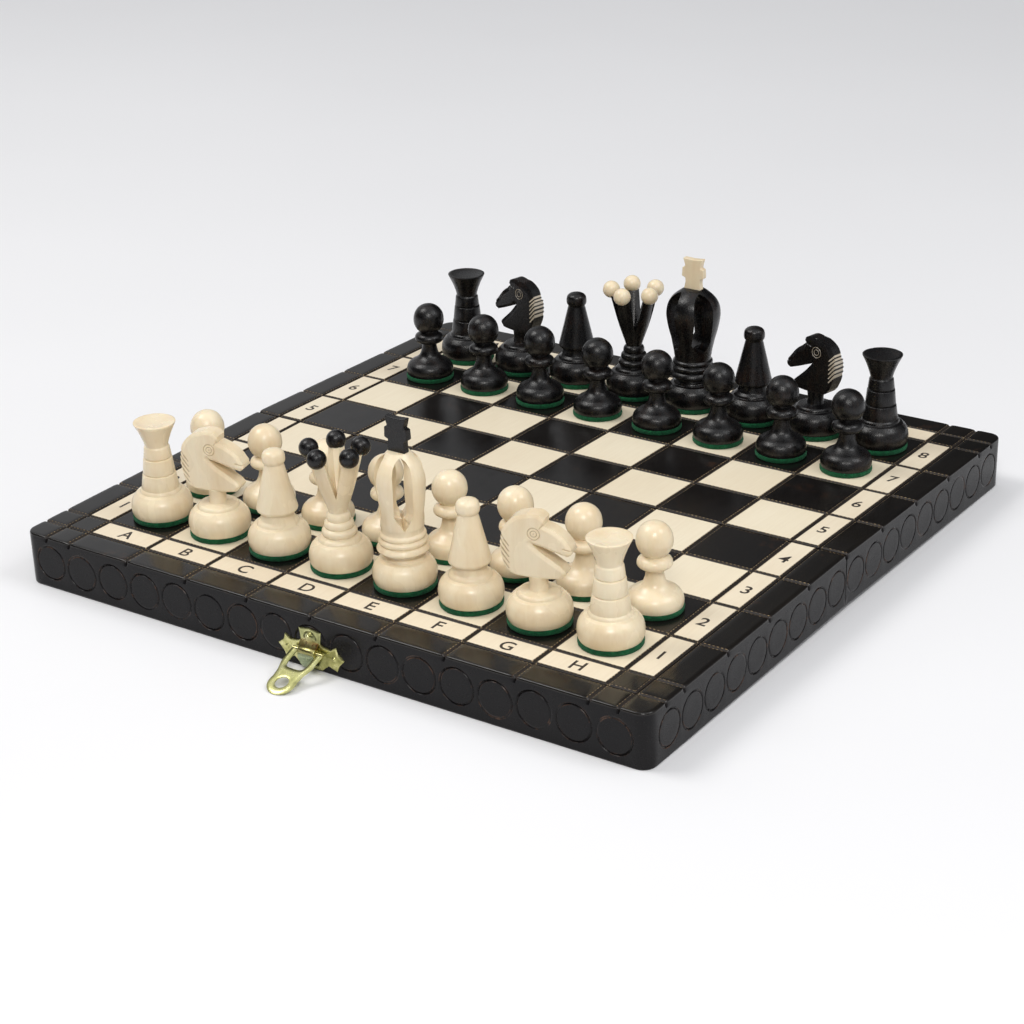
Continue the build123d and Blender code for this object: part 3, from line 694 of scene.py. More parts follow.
def ring_cell(s0, s1, radius, rng):
    """One wall cell with a stamped ring; each edge has WALL_STEPS steps, so that cells meet."""
    cs, cz = (s0 + s1) / 2, HEIGHT / 2
    n, wide, high = WALL_STEPS, s1 - s0, WALL_TOP - WALL_LOW
    border = [(s0 + wide * k / n, WALL_LOW) for k in range(n)]
    border += [(s1, WALL_LOW + high * k / n) for k in range(n)]
    border += [(s1 - wide * k / n, WALL_TOP) for k in range(n)]
    border += [(s0, WALL_TOP - high * k / n) for k in range(n)]
    total = 4 * n
    jx, jz = rng.uniform(-0.12, 0.12), rng.uniform(-0.5, 0.5)
    lean, bias = rng.uniform(0, 2 * math.pi), rng.uniform(0.15, 0.45)
    size = radius - rng.uniform(0.0, 0.1)
    verts = [wall_point(s, z, 0.0) for s, z in border]
    marks = [(0, 0, 0)] * total
    loops = [(size + off, depth, burn) for off, depth, burn in RING_LOOPS]
    loops += [(size * share, depth, 0.0) for share, depth in DISH]
    for r, depth, burn in loops:
        for k in range(total):
            a = -0.75 * math.pi + 2 * math.pi * k / total
            press = 1 - bias * (0.5 - 0.5 * math.cos(a - lean)) * 1.6 if burn else 1.0
            verts.append(wall_point(cs + jx + r * math.cos(a), cz + jz + r * math.sin(a), depth * press))
            marks.append((0, 0, burn * (0.45 + 0.55 * press)))
    verts.append(wall_point(cs + jx, cz + jz, 0.05))
    marks.append((0, 0, 0))
    faces = []
    for i in range(0, total * len(loops), total):
        faces += [(i + k, i + (k + 1) % total, i + total + (k + 1) % total, i + total + k) for k in range(total)]
    last = total * len(loops)
    faces += [(last + k, last + (k + 1) % total, last + total) for k in range(total)]
    return verts, faces, marks


def plain_cell(s0, s1):
    n, high = WALL_STEPS, WALL_TOP - WALL_LOW
    verts = [wall_point(s, WALL_LOW + high * k / n, 0) for s in (s0, s1) for k in range(n + 1)]
    return verts, [(k, n + 1 + k, n + 2 + k, k + 1) for k in range(n)], [(0, 0, 0)] * len(verts)


def wall_surface(side):
    """The outer wall: vertices, faces, the rail that each face is on, and marks."""
    rng = random.Random(40 + side)
    middle = STRAIGHT + ARC / 2
    total = 4 * STRAIGHT + 2 * ARC
    verts, faces, rails, marks = [], [], [], []
    for s0, s1, radius in wall_cells():
        v, f, m = ring_cell(s0, s1, radius, rng) if radius else plain_cell(s0, s1)
        faces += shifted(f, len(verts))
        verts += v
        marks += m
        s = (s0 + s1) / 2
        rails += ["right" if s < middle else "left" if s > total - middle else "outer"] * len(f)
    return verts, faces, rails, marks


# rail section from the foot of the outer wall round the inside to the panel's edge: (offset, z)
CORE = [(0, WALL_LOW), (0.12, 0.5), (0.45, RIM), (18.1, RIM), (18.5, 0.55), (18.5, PANEL_LOW),
        (14.5, PANEL_LOW), (14.5, HEIGHT - 0.5)]


def core_point(x_side, t, d, z):
    """A point d inside the outer wall; t is a y along a side, or (turn,) round a corner."""
    far = HALF - d
    if x_side == 0:
        return (0, far, z)
    if not isinstance(t, tuple):
        return (x_side * far, min(t, far), z)
    if d >= CORNER:
        return (x_side * far, far, z)
    a = math.pi / 2 * t[0] + (0 if x_side > 0 else math.pi / 2)
    return (x_side * STRAIGHT + (CORNER - d) * math.cos(a), STRAIGHT + (CORNER - d) * math.sin(a), z)


def core_surface():
    """The rails' underside and inner faces, mitred at the corners, and the rail that each face is on."""
    bend = [(k / BEND_STEPS,) for k in range(BEND_STEPS + 1)]
    stations = [(1, t) for t in [SEAM, STRAIGHT] + bend] + [(0, 0)] + [(-1, t) for t in bend + [STRAIGHT, SEAM]]
    verts = [core_point(x_side, t, d, z) for x_side, t in stations for d, z in CORE]
    m = len(CORE)
    faces, rails = [], []
    for i in range(len(stations) - 1):
        faces += [(i * m + k, i * m + k + 1, i * m + k + m + 1, i * m + k + m) for k in range(m - 1)]
        rails += ["right" if i <= 4 else "left" if i >= len(stations) - 6 else "outer"] * (m - 1)
    return verts, faces, rails


FINISH = {"light": SQUARE_LIGHT, "dark": SQUARE_DARK, "strip": STRIP_LIGHT, "groove": GROOVE,
          "rail": RAIL_TOP, "wall": RAIL}


def rail_part(x, y):
    if abs(x) < STRIP_OUT and y < STRIP_OUT:
        return "panel"
    if abs(x) > y:
        return "right" if x > 0 else "left"
    return "outer"


def build_board(side):
    """The skins of a half: the playing panel and three rails, each in place of its CAD node."""
    verts, faces, kinds, marks = top_surface(side)
    parts = {key: ([], []) for key in ("panel", "outer", "right", "left")}

    def put(key, face, finish="wall"):
        parts[key][0].append(face)
        parts[key][1].append(list(FINISH).index(finish))

    def add(more_verts, more_faces, keys, more_marks):
        for face, key in zip(shifted(more_faces, len(verts)), keys):
            put(key, face)
        verts.extend(more_verts)
        marks.extend(more_marks)

    for face, (kind, x, y) in zip(faces, kinds):
        low = min(verts[i][2] for i in face)
        put(rail_part(x, y), face, "wall" if low < HEIGHT - 1.5 else kind)
    add(*wall_surface(side))
    core_verts, core_faces, core_rails = core_surface()
    add(core_verts, core_faces, core_rails, [(0, 0, 0)] * len(core_verts))
    ring = [(-STRIP_OUT, SEAM), (STRIP_OUT, SEAM), (STRIP_OUT, STRIP_OUT), (-STRIP_OUT, STRIP_OUT)]
    skirt = [(x, y, z) for z in (PANEL_LOW, HEIGHT - 0.7) for x, y in ring]
    skirt_faces = [(3, 2, 1, 0)] + [(k, (k + 1) % 4, 4 + (k + 1) % 4, 4 + k) for k in range(4)]
    add(skirt, skirt_faces, ["panel"] * 5, [(1, 1, 0)] * 8)

    # a half's own +x side is the board's right-hand rail on Black's half and its left-hand rail on White's
    names = {"panel": "playing_panel", "outer": "outer_rail", "right": "left_rail", "left": "right_rail"}
    if side == BLACK:
        names.update(right="right_rail", left="left_rail")
    for key, (part_faces, finishes) in parts.items():
        node = COLOUR[side] + "_" + names[key]
        used = sorted({i for f in part_faces for i in f})
        back = {v: k for k, v in enumerate(used)}
        mesh = to_mesh(node + "_skin", [verts[i] for i in used], [tuple(back[i] for i in f) for f in part_faces],
                       list(FINISH.values()), finishes, [marks[i] for i in used], weld=0.004)
        mesh.transform(half_matrix(side))
        add_object(node + "_skin", mesh, Matrix.Identity(4), COLOUR[side] + "_half", (node,))


LETTER_SIZE = 10.2


def text_mesh(letter, size):
    """A flat letter centred on the origin, as (verts, faces)."""
    curve = bpy.data.curves.new("letter", "FONT")
    curve.body = letter
    curve.size = size
    curve.align_x = "CENTER"
    curve.align_y = "CENTER"
    curve.resolution_u = 6
    curve.extrude = 0.03
    curve.offset = 0.12
    obj = bpy.data.objects.new("letter", curve)
    bpy.context.collection.objects.link(obj)
    mesh = bpy.data.meshes.new_from_object(obj)
    verts = [tuple(v.co) for v in mesh.vertices]
    faces = [tuple(p.vertices) for p in mesh.polygons]
    cx, cy = ((min(v[k] for v in verts) + max(v[k] for v in verts)) / 2 for k in (0, 1))
    bpy.data.objects.remove(obj)
    bpy.data.curves.remove(curve)
    bpy.data.meshes.remove(mesh)
    return [(x - cx, y - cy, z) for x, y, z in verts], faces


def build_letters(side):
    """The file letters along the outer strip and the rank numbers along both sides."""
    rng = random.Random(7 + side)
    mid = (STRIP_IN + STRIP_OUT) / 2
    parts = []

    def put(letter, x, y):
        v, f = text_mesh(letter, LETTER_SIZE)
        a = math.radians(rng.uniform(-4, 4)) + (0 if side == BLACK else math.pi)
        x += rng.uniform(-0.7, 0.7)
        y += rng.uniform(-0.5, 0.5)
        c, s = math.cos(a), math.sin(a)
        top = HEIGHT + 0.02
        parts.append(([(x + c * px - s * py, y + s * px + c * py, top + pz) for px, py, pz in v], f))

    for k, letter in enumerate(FILES):
        put(letter, side * (k - 3.5) * SQUARE, mid)
    for row in range(4):
        rank = 5 + row if side == BLACK else 4 - row
        for s in (-1, 1):
            put(str(rank), s * mid, (row + 0.5) * SQUARE)
    name = COLOUR[side] + "_burnt_letters"
    mesh = to_mesh(name, *join_parts(parts), [INK], sharp=30)
    mesh.transform(half_matrix(side))
    add_object(name, mesh, Matrix.Identity(4), COLOUR[side] + "_half", ())


# ---- chess men --------------------------------------------------------------------------------

# Each man's side view is a list of runs of (radius, height): smooth within a run, sharp between two.

def officer_foot(neck):
    return [
        [(0, FELT), (13.7, FELT)],
        [(13.7, FELT), (14.55, 4.2), (14.8, 7.4), (13.9, 10.9), (11.6, 13.7)],
        [(11.6, 13.7), (10.0, 14.1)],
        [(10.0, 14.1), (9.7, 15.1), (8.9, 15.9)],
        [(8.9, 15.9), (neck, 16.4)],
    ]


def pawn_runs():
    return [
        [(0, FELT), (12.4, FELT)],
        [(12.4, FELT), (12.85, 3.8), (12.75, 5.8), (12.0, 7.9), (10.4, 9.6)],
        [(10.4, 9.6), (7.6, 11.2), (5.6, 13.0), (4.5, 15.6), (4.0, 18.4), (3.9, 20.5)],
        [(3.9, 20.5), (6.1, 20.6), (7.6, 21.6), (7.95, 22.9), (7.4, 24.6), (5.9, 25.8)],
        [(5.9, 25.8), (4.7, 26.4)],
        [(4.7, 26.4), (6.9, 28.6), (8.1, 31.4), (8.3, 33.9), (7.7, 37.0), (5.9, 39.8), (3.2, 41.6),
         (0, 42.1)],
    ]


def rook_runs():
    return officer_foot(9.0) + [
        [(9.0, 16.4), (8.0, 23.0)],
        [(8.0, 23.0), (7.25, 23.4), (7.75, 23.9)],
        [(7.75, 23.9), (7.0, 31.0)],
        [(7.0, 31.0), (6.2, 31.4), (6.75, 31.9)],
        [(6.75, 31.9), (6.15, 36.8)],
        [(6.15, 36.8), (5.55, 37.5)],
        [(5.55, 37.5), (6.3, 40.4), (7.9, 44.6), (10.05, 49.1)],
        [(10.05, 49.1), (10.1, 49.6)],
        [(10.1, 49.6), (9.3, 49.75)],
        [(9.3, 49.75), (5.0, 49.2), (0, 49.0)],
    ]


def bishop_runs():
    return officer_foot(8.3) + [
        [(8.3, 16.4), (7.7, 18.4), (7.5, 20.3)],
        [(7.5, 20.3), (9.1, 20.4)],
        [(9.1, 20.4), (9.75, 21.5), (9.3, 23.6)],
        [(9.3, 23.6), (7.2, 32.5), (4.5, 43.8)],
        [(4.5, 43.8), (5.3, 45.0), (5.45, 46.9), (4.9, 49.2), (3.0, 50.5), (0, 50.9)],
    ]


def queen_stem_runs():
    return officer_foot(7.4) + [
        [(7.4, 16.4), (7.4, 16.8)],
        [(7.4, 16.8), (8.15, 17.6), (8.1, 19.2), (7.1, 20.1)],
        [(7.1, 20.1), (6.4, 20.4)],
        [(6.4, 20.4), (6.95, 21.3), (6.8, 22.9), (6.1, 23.7)],
        [(6.1, 23.7), (5.3, 24.0)],
        [(5.3, 24.0), (5.7, 24.9), (5.5, 26.6), (4.9, 27.5)],
        [(4.9, 27.5), (4.3, 28.0)],
        [(4.3, 28.0), (5.0, 30.4), (6.2, 34.0)],
    ]


def king_stem_runs():
    return officer_foot(8.8) + [
        [(8.8, 16.4), (8.7, 17.3)],
        [(8.7, 17.3), (11.9, 18.3)],
        [(11.9, 18.3), (12.2, 19.0), (11.8, 20.1), (11.0, 21.1)],
        [(10.9, 21.0), (10.4, 21.3)],
        [(10.4, 21.3), (11.2, 22.3), (11.1, 23.5), (10.3, 24.2)],
        [(10.3, 24.2), (9.9, 24.5)],
        [(9.9, 24.5), (10.6, 25.3), (10.5, 26.4), (9.8, 27.1)],
        [(9.8, 27.1), (9.6, 27.4)],
        [(9.6, 27.4), (9.75, 29.0), (9.95, 30.0)],
    ]


def knight_foot_runs():
    return officer_foot(4.4) + [
        [(4.4, 16.4), (4.1, 19.5), (4.5, 23.6)],
        [(4.5, 23.6), (0, 23.6)],
    ]


def interpolate(table, z):
    """The value at z of a table of (z, value)."""
    if z <= table[0][0]:
        return table[0][1]
    for (z0, v0), (z1, v1) in zip(table, table[1:]):
        if z <= z1:
            return v0 + (v1 - v0) * (z - z0) / (z1 - z0)
    return table[-1][1]


def smooth_table(points, step=0.8):
    """A table of (z, radius) with smooth steps between its points."""
    return [(z, r) for r, z in catmull([(r, z) for z, r in points], step)]


RIB_STEPS = 8


def petals(count, levels, outer, inner, notch, splay=1.0, lean=0.0):
    """An openwork crown: count ribs with notches between, whose inner width is splay of the outer
    and whose inner mouths are turned by lean."""
    verts, faces = [], []
    m = 2 * (RIB_STEPS + 1)
    full = math.pi / count
    for i in range(count):
        mid = 2 * math.pi * i / count
        base = len(verts)
        shut = []
        for z in levels:
            ro, ri, w = interpolate(outer, z), max(0.25, interpolate(inner, z)), interpolate(notch, z)
            ho = full - math.asin(min(0.99, w / ro))
            hi = max(0.02, full - math.asin(min(1.0, w * splay / ri)))
            shut.append(w < 1e-3)
            arcs = [(ro, mid - ho + 2 * ho * j / RIB_STEPS) for j in range(RIB_STEPS + 1)]
            arcs += [(ri, mid + lean - hi + 2 * hi * j / RIB_STEPS) for j in range(RIB_STEPS, -1, -1)]
            verts += [(r * math.cos(a), r * math.sin(a), z) for r, a in arcs]
        for a in range(len(levels) - 1):
            for j in range(m):
                if j in (RIB_STEPS, m - 1) and shut[a] and shut[a + 1]:
                    continue
                p, q = base + a * m + j, base + a * m + (j + 1) % m
                faces.append((p, q, q + m, p + m))
        top = base + (len(levels) - 1) * m
        faces.append(tuple(top + j for j in range(m)))
    return verts, faces


CROWN_RIBS = 4
CROWN_LEAN = -0.38
CROWN_FOOT, CROWN_TOP = 29.5, 65.5
CROWN_WAIST = 9.85
CROWN_RADIUS = {WHITE: 11.9, BLACK: 14.2}


def crown(radius):
    """The king's crown, radius across its widest place; the windows are three quarters as wide."""
    swell = radius - CROWN_WAIST
    low = [(z, CROWN_WAIST + share * swell) for z, share in ((33, 0.12), (38, 0.37), (44, 0.73), (50, 0.98))]
    high = [(z, radius * share) for z, share in ((53.5, 1.0), (57.5, 0.94), (61, 0.79), (63.8, 0.56))]
    outer = smooth_table([(CROWN_FOOT, CROWN_WAIST)] + low + high + [(CROWN_TOP, 5.2)])
    hollow = [(z, radius * share) for z, share in ((34.5, 0.4), (40, 0.5), (46, 0.58), (52, 0.62), (56, 0.58),
                                                   (59.5, 0.44), (62.0, 0.2))]
    inner = smooth_table([(CROWN_FOOT, 0.25), (32.6, 0.3)] + hollow + [(63.5, 0.25), (CROWN_TOP, 0.25)], 0.5)
    half = 0.75 * radius / 2
    shares = ((30.4, 0.0), (33.0, 0.42), (37.5, 1.0), (57.0, 1.0), (60.5, 0.85), (63.0, 0.5), (64.6, 0.0))
    levels = {CROWN_FOOT + 0.75 * k for k in range(int((CROWN_TOP - CROWN_FOOT) / 0.75) + 1)}
    levels = sorted(levels | {30.4, 64.6, CROWN_TOP})
    return petals(CROWN_RIBS, levels, outer, inner, [(z, half * k) for z, k in shares], 0.8, CROWN_LEAN)


QUEEN_OUT = smooth_table([(33.0, 5.9), (38.0, 7.6), (44.0, 9.4), (50.0, 11.0), (56.4, 12.7)])
QUEEN_IN = smooth_table([(33.0, 0.25), (37.0, 0.3), (42.0, 3.0), (50.0, 6.6), (56.4, 9.3)])


def queen_arms():
    levels = [33.0, 34.5, 36.0, 36.6] + [37.6 + 1.0 * k for k in range(19)] + [56.4]
    return petals(5, levels, QUEEN_OUT, QUEEN_IN, [(36.6, 0.0), (56.4, 4.2)])


def ball(centre, radius, seed=0.0):
    runs = [(radius * math.sin(math.pi * k / 20), -radius * math.cos(math.pi * k / 20)) for k in range(21)]
    v, f = lathe(runs, 32, 0.12, seed)
    return [(x + centre[0], y + centre[1], z + centre[2]) for x, y, z in v], f


def felt_pad(radius, seed):
    """A felt disc with an uneven edge."""
    shift = random.Random(seed).uniform(0, 50)
    edge = [(-0.7, 0.02), (-0.2, 0.25), (0.0, 0.8), (0.05, 1.4), (0.0, 2.0), (-0.25, 2.45), (-0.6, 2.6), (-1.6, 2.5)]
    profile = [(0, 0.0), (radius * 0.5, 0.0)] + [(radius + r, z) for r, z in edge] + [(0, 2.4)]
    verts, faces = lathe(profile, 128)
    out = []
    for x, y, z in verts:
        r = math.hypot(x, y)
        if r > radius * 0.8:
            d = 0.16 * noise.noise(Vector((x * 0.5, y * 0.5, z + shift)))
            d += 0.10 * noise.noise(Vector((x * 2.2, y * 2.2, z * 2 + shift)))
            x, y = x * (1 + d / r), y * (1 + d / r)
        out.append((x, y, z))
    return out, faces


# Side views of the carved heads looking along +x: points, bevel width and bevel depth of each run
WHITE_HEAD = [
    ([(-13.2, 25.4), (-15.4, 31.0), (-16.2, 38.0)], 0.6, 0.35),
    ([(-16.2, 38.0), (-14.6, 45.0), (-9.6, 50.6), (-3.6, 52.8)], 1.6, 0.75),
    ([(-3.6, 52.8), (1.6, 52.8), (4.4, 50.9)], 1.3, 0.7),
    ([(4.4, 50.9), (4.2, 48.0)], 0.7, 0.5),
    ([(4.2, 48.0), (8.6, 46.2), (13.2, 43.0), (16.2, 39.0)], 1.6, 1.0),
    ([(16.2, 39.0), (16.6, 36.4), (14.6, 34.8)], 1.0, 0.7),
    ([(14.6, 34.8), (9.0, 36.2), (3.4, 38.0), (-2.0, 39.2)], 1.1, 0.8),
    ([(-2.0, 39.2), (1.6, 35.8), (6.8, 32.4), (11.6, 29.4)], 1.6, 1.0),
    ([(11.6, 29.4), (13.8, 26.8), (12.2, 24.2)], 1.2, 0.9),
    ([(12.2, 24.2), (8.0, 23.6), (4.0, 23.2)], 0.6, 0.4),
    ([(4.0, 23.2), (-5.0, 23.2)], 0.4, 0.3),
    ([(-5.0, 23.2), (-9.6, 23.6), (-13.2, 25.4)], 0.5, 0.4),
]
BLACK_HEAD = [
    ([(-11.1, 26.6), (-13.3, 31.8), (-14.2, 37.5), (-13.7, 43.0)], 0.8, 0.4),
    ([(-13.7, 43.0), (-11.2, 48.3), (-6.6, 51.5), (-2.0, 52.3)], 2.5, 1.3),
    ([(-2.0, 52.3), (1.8, 52.7), (4.6, 51.8), (5.4, 50.2)], 1.7, 0.9),
    ([(5.4, 50.2), (4.6, 48.9), (6.5, 47.2)], 0.8, 0.5),
    ([(6.5, 47.2), (11.0, 43.9), (15.2, 38.9)], 2.3, 1.4),
    ([(15.2, 38.9), (16.5, 36.2), (16.1, 34.2), (14.2, 33.2)], 1.1, 0.8),
    ([(14.2, 33.2), (8.3, 35.3), (0.6, 38.4)], 1.1, 0.8),
    ([(0.6, 38.4), (5.0, 33.4), (10.3, 28.6)], 2.0, 1.2),
    ([(10.3, 28.6), (12.2, 26.2), (10.8, 24.0)], 1.2, 0.9),
    ([(10.8, 24.0), (8.0, 23.5), (4.0, 23.2)], 0.6, 0.4),
    ([(4.0, 23.2), (-5.0, 23.2)], 0.4, 0.3),
    ([(-5.0, 23.2), (-8.6, 24.0), (-11.1, 26.6)], 0.5, 0.4),
]
HEAD_THICK = 8.5
HEAD_STEP = 0.5
EYE_GROOVES = [(2.75, 0.34, 0.34), (1.45, 0.32, 0.3), (0.0, 0.5, 0.3)]


def slanted_cuts(start, end, rise, count, half, deep):
    """Parallel knife cuts, each one rise below the last: (outer end, inner end, half width, depth)."""
    return [((start[0], start[1] - rise * k), (end[0], end[1] - rise * k), half, deep) for k in range(count)]


# eye, mane cuts, cuts at the mouth and the brow
HEAD_CARVING = {
    WHITE: ((-0.4, 44.0), slanted_cuts((-16.8, 43.4), (-12.0, 37.2), 2.7, 5, 0.66, 1.0),
            [((17.0, 37.5), (12.8, 38.5), 0.4, 0.6), ((4.8, 49.2), (2.2, 46.6), 0.35, 0.35)]),
    BLACK: ((-2.6, 45.2), slanted_cuts((-14.4, 46.6), (-10.8, 42.4), 2.3, 6, 0.72, 0.9),
            [((16.8, 36.6), (13.6, 37.6), 0.4, 0.6), ((5.6, 49.2), (1.2, 48.0), 0.5, 0.6)]),
}


def carving(p, edges, eye, mane, nicks):
    """(depth below the slab's flat face, a cut mark: pale cut wood on the black head, brown painted shade on the
    white head) at a point of the side view.
    """
    near, wide, deep = min((segment_distance(p, a, b)[0] / w, w, h) for a, b, w, h in edges)
    depth = deep * max(0.0, 1.0 - near)
    bare_wood_and_cut_shade = 0.0
    r = math.dist(p, eye)
    for radius, half, cut in EYE_GROOVES:
        v = max(0.0, 1.0 - abs(r - radius) / half)
        depth += cut * v
        bare_wood_and_cut_shade = max(bare_wood_and_cut_shade, v)
    for a, b, half, cut in mane:
        d, t = segment_distance(p, a, b)
        v = max(0.0, 1.0 - d / (half * (1.0 - 0.45 * t)))
        depth += cut * v * (1.0 - 0.75 * t)
        bare_wood_and_cut_shade = max(bare_wood_and_cut_shade, min(1.0, 2.2 * v))
    for a, b, half, cut in nicks:
        v = max(0.0, 1.0 - segment_distance(p, a, b)[0] / half)
        depth += cut * v
        bare_wood_and_cut_shade = max(bare_wood_and_cut_shade, 0.35 * v)
    return depth, bare_wood_and_cut_shade


def knight_head(runs, eye, mane, nicks):
    """The carved head: both faces are relief maps over the outline, joined round the rim."""
    outline, edges = [], []
    for points, wide, deep in runs:
        run = catmull(points, 0.55)
        edges += [(a, b, wide, deep) for a, b in zip(run, run[1:])]
        outline += run[:-1]
    coarse = outline[::2]
    across = (-1.0, -0.5, 0.0, 0.5, 1.0)
    radii = [r + half * o for r, half, _ in EYE_GROOVES for o in across]
    spots = [q for r in radii if r > 0.1 for q in circle(eye, r, 48)]
    for a, b, half, _ in mane + nicks:
        length = math.dist(a, b)
        n = max(2, int(length / 0.35))
        ux, uz = (b[0] - a[0]) / length, (b[1] - a[1]) / length
        for k in range(n + 1):
            x, z = a[0] + (b[0] - a[0]) * k / n, a[1] + (b[1] - a[1]) * k / n
            reach = half * (1.0 - 0.45 * k / n)
            spots += [(x - uz * reach * o, z + ux * reach * o) for o in across]
    for i in range(-36, 37):
        for j in range(45, 108):
            p = (i * HEAD_STEP + (j % 2) * HEAD_STEP / 2, j * HEAD_STEP)
            if math.dist(p, eye) > 3.3:
                spots.append(p)
    points = list(outline)
    for p in spots:
        if inside(p, coarse) and min(segment_distance(p, a, b)[0] for a, b, _, _ in edges) > 0.16:
            points.append(p)
    flat, tris = triangulate(points, loop_edges(0, len(outline)))
    carved = [carving(p, edges, eye, mane, nicks) for p in flat]
    verts, marks = [], []
    for side in (-1, 1):
        verts += [(p[0], side * (HEAD_THICK / 2 - min(c[0], 2.4)), p[1]) for p, c in zip(flat, carved)]
        marks += [(c[1], 0, 0) for c in carved]
    return verts, close_sheet(tris, len(flat)), marks


def man_place(side, file_index, row, turn):
    x = side * (file_index - 3.5) * SQUARE
    y = (row + 0.5) * SQUARE
    spin = math.radians(turn if side == BLACK else turn + 180)
    local = Matrix.Translation((x * MM, y * MM, HEIGHT * MM)) @ Matrix.Rotation(spin, 4, "Z")
    return half_matrix(side) @ local


def soften(obj, width, angle=40.0, segments=2):
    """Rounds the edges sharper than an angle."""
    mod = obj.modifiers.new("soften", "BEVEL")
    mod.width = width * MM
    mod.segments = segments
    mod.limit_method = "ANGLE"
    mod.angle_limit = math.radians(angle)


TURNED = {"pawn": pawn_runs, "rook": rook_runs, "bishop": bishop_runs, "knight": knight_foot_runs,
          "queen": queen_stem_runs, "king": king_stem_runs}
QUEEN_BALLS, BALL_RADIUS, BALL_CIRCLE, BALL_Z = 5, 4.6, 12.4, 58.0
PAWN_PAD, OFFICER_PAD = 13.0, 14.5


def build_man(side, kind, letter, file_index, row, turn, head):
    """One man: its wood, its felt pad, and the queen's balls or the knight's head."""
    name = "_".join(part for part in (COLOUR[side], kind, letter) if part)
    slot = SLOTS[side]
    place = man_place(side, file_index, row, turn)
    seed = random.Random(name).uniform(0, 60)

    def put(suffix, shape, mat=WOODS[side], nodes=(name,), piece_slot=slot, **look):
        mesh = to_mesh(name + suffix, *shape, [mat], **look)
        return add_object(name + suffix, mesh, place, name, nodes)

    segments, wobble = {"queen": (80, 0.08), "knight": (80, 0.08), "king": (88, 0.1)}.get(kind, (88, 0.12))
    turned = lathe(run_line(TURNED[kind]()), segments, wobble, seed)
    if kind in ("king", "queen"):
        crest = crown(CROWN_RADIUS[side]) if kind == "king" else queen_arms()
        soften(put("_wood", join_parts([turned, crest]), weld=0.01, sharp=45), 0.35)
    else:
        put("_foot" if kind == "knight" else "_wood", turned, weld=0.001)
    if kind == "queen":
        places = circle((0, 0), BALL_CIRCLE, QUEEN_BALLS)
        balls = [ball((x, y, BALL_Z), BALL_RADIUS, seed + k) for k, (x, y) in enumerate(places)]
        put("_balls_wood", join_parts(balls), WOODS[-side], (name + "_balls",), None)
    if kind == "knight":
        add_object(name + "_head", head, place, name, ())
    pad = felt_pad(PAWN_PAD if kind == "pawn" else OFFICER_PAD, int(seed * 1000))
    put("_felt", pad, FELT_GREEN, (), "green_felt", weld=0.001, sharp=60)


FINIAL_HALF = [(4.9, 0.0), (4.3, 3.6), (4.4, 5.6), (6.3, 6.4), (6.0, 11.2), (4.6, 11.8), (4.8, 12.8),
               (5.9, 16.5)]
FINIAL_FOOT = 65.4
FINIAL_THICK = 3.5


def build_finial(side):
    """The flat notched cross on a king, in the other colour, sawn a little unevenly."""
    name = COLOUR[side] + "_king_finial"
    rng = random.Random(90 + side)
    half = [(x + rng.uniform(-0.15, 0.15), z + rng.uniform(-0.1, 0.1)) for x, z in FINIAL_HALF]
    mirror = [(-x + rng.uniform(-0.2, 0.2), z + rng.uniform(-0.15, 0.15)) for x, z in reversed(FINIAL_HALF)]
    outline = [(x, z + FINIAL_FOOT) for x, z in half + [(0.0, 16.1)] + mirror]
    flat, tris = triangulate(outline, loop_edges(0, len(outline)))
    verts = [(x, y, z) for y in (-FINIAL_THICK / 2, FINIAL_THICK / 2) for x, z in flat]
    mesh = to_mesh(name, verts, close_sheet(tris, len(flat)), [WOODS[-side]], sharp=30, weld=0.001)
    place = man_place(side, 4, 3, 0)
    cross = add_object(name + "_wood", mesh, place, COLOUR[side] + "_king", (name,))
    soften(cross, 0.35, segments=3)


# turns of the men, in degrees
KNIGHT_TURN = {WHITE: 14.0, BLACK: 169.0}
QUEEN_TURN = {WHITE: -19.6, BLACK: -17.4}
KING_TURN = {WHITE: -2.0, BLACK: 9.0}
PAWN_TURN = 37


def build_men(side):
    """A side's sixteen men on their squares."""
    verts, faces, marks = knight_head(WHITE_HEAD if side == WHITE else BLACK_HEAD, *HEAD_CARVING[side])
    name = COLOUR[side] + "_knight_head"
    head = to_mesh(name, verts, faces, [WOODS[side]], marks=marks, sharp=24, weld=0.0005)
    turns = {"knight": KNIGHT_TURN[side], "queen": QUEEN_TURN[side], "king": KING_TURN[side]}
    officers = ("rook", "knight", "bishop", "queen", "king", "bishop", "knight", "rook")
    for index, kind in enumerate(officers):
        letter = "" if kind in ("queen", "king") else FILES[index].lower()
        build_man(side, kind, letter, index, 3, turns.get(kind, 0), head)
    for index, letter in enumerate(FILES.lower()):
        build_man(side, "pawn", letter, index, 2, PAWN_TURN * index, head)
    build_finial(side)


# ---- the clasp: thin stamped sheet with rolled edges -----------------------------------------

PLATE, PLATE_SHEET = 0.7, 0.45
CLASP_Y = HALF + 2.7
BARREL_Z = 10.2
BARREL_HALF = 4.6
HASP_END = 27.0
HASP_THICK = 0.5
HASP_HALF = 8.7
HASP_RING, RING_OUT, RING_HOLE = 20.0, 7.0, 3.3
RELIEF_STEP = 0.42
# right half of the star plate, down from its top point: (x, z)
STAR = [(6.2, 19.9), (5.4, 14.2), (7.3, 13.4), (11.6, 13.0), (14.4, 14.8), (15.4, 11.6), (18.6, 9.0),
        (15.6, 5.8), (14.4, 2.8), (9.6, 4.4), (5.8, 1.2)]
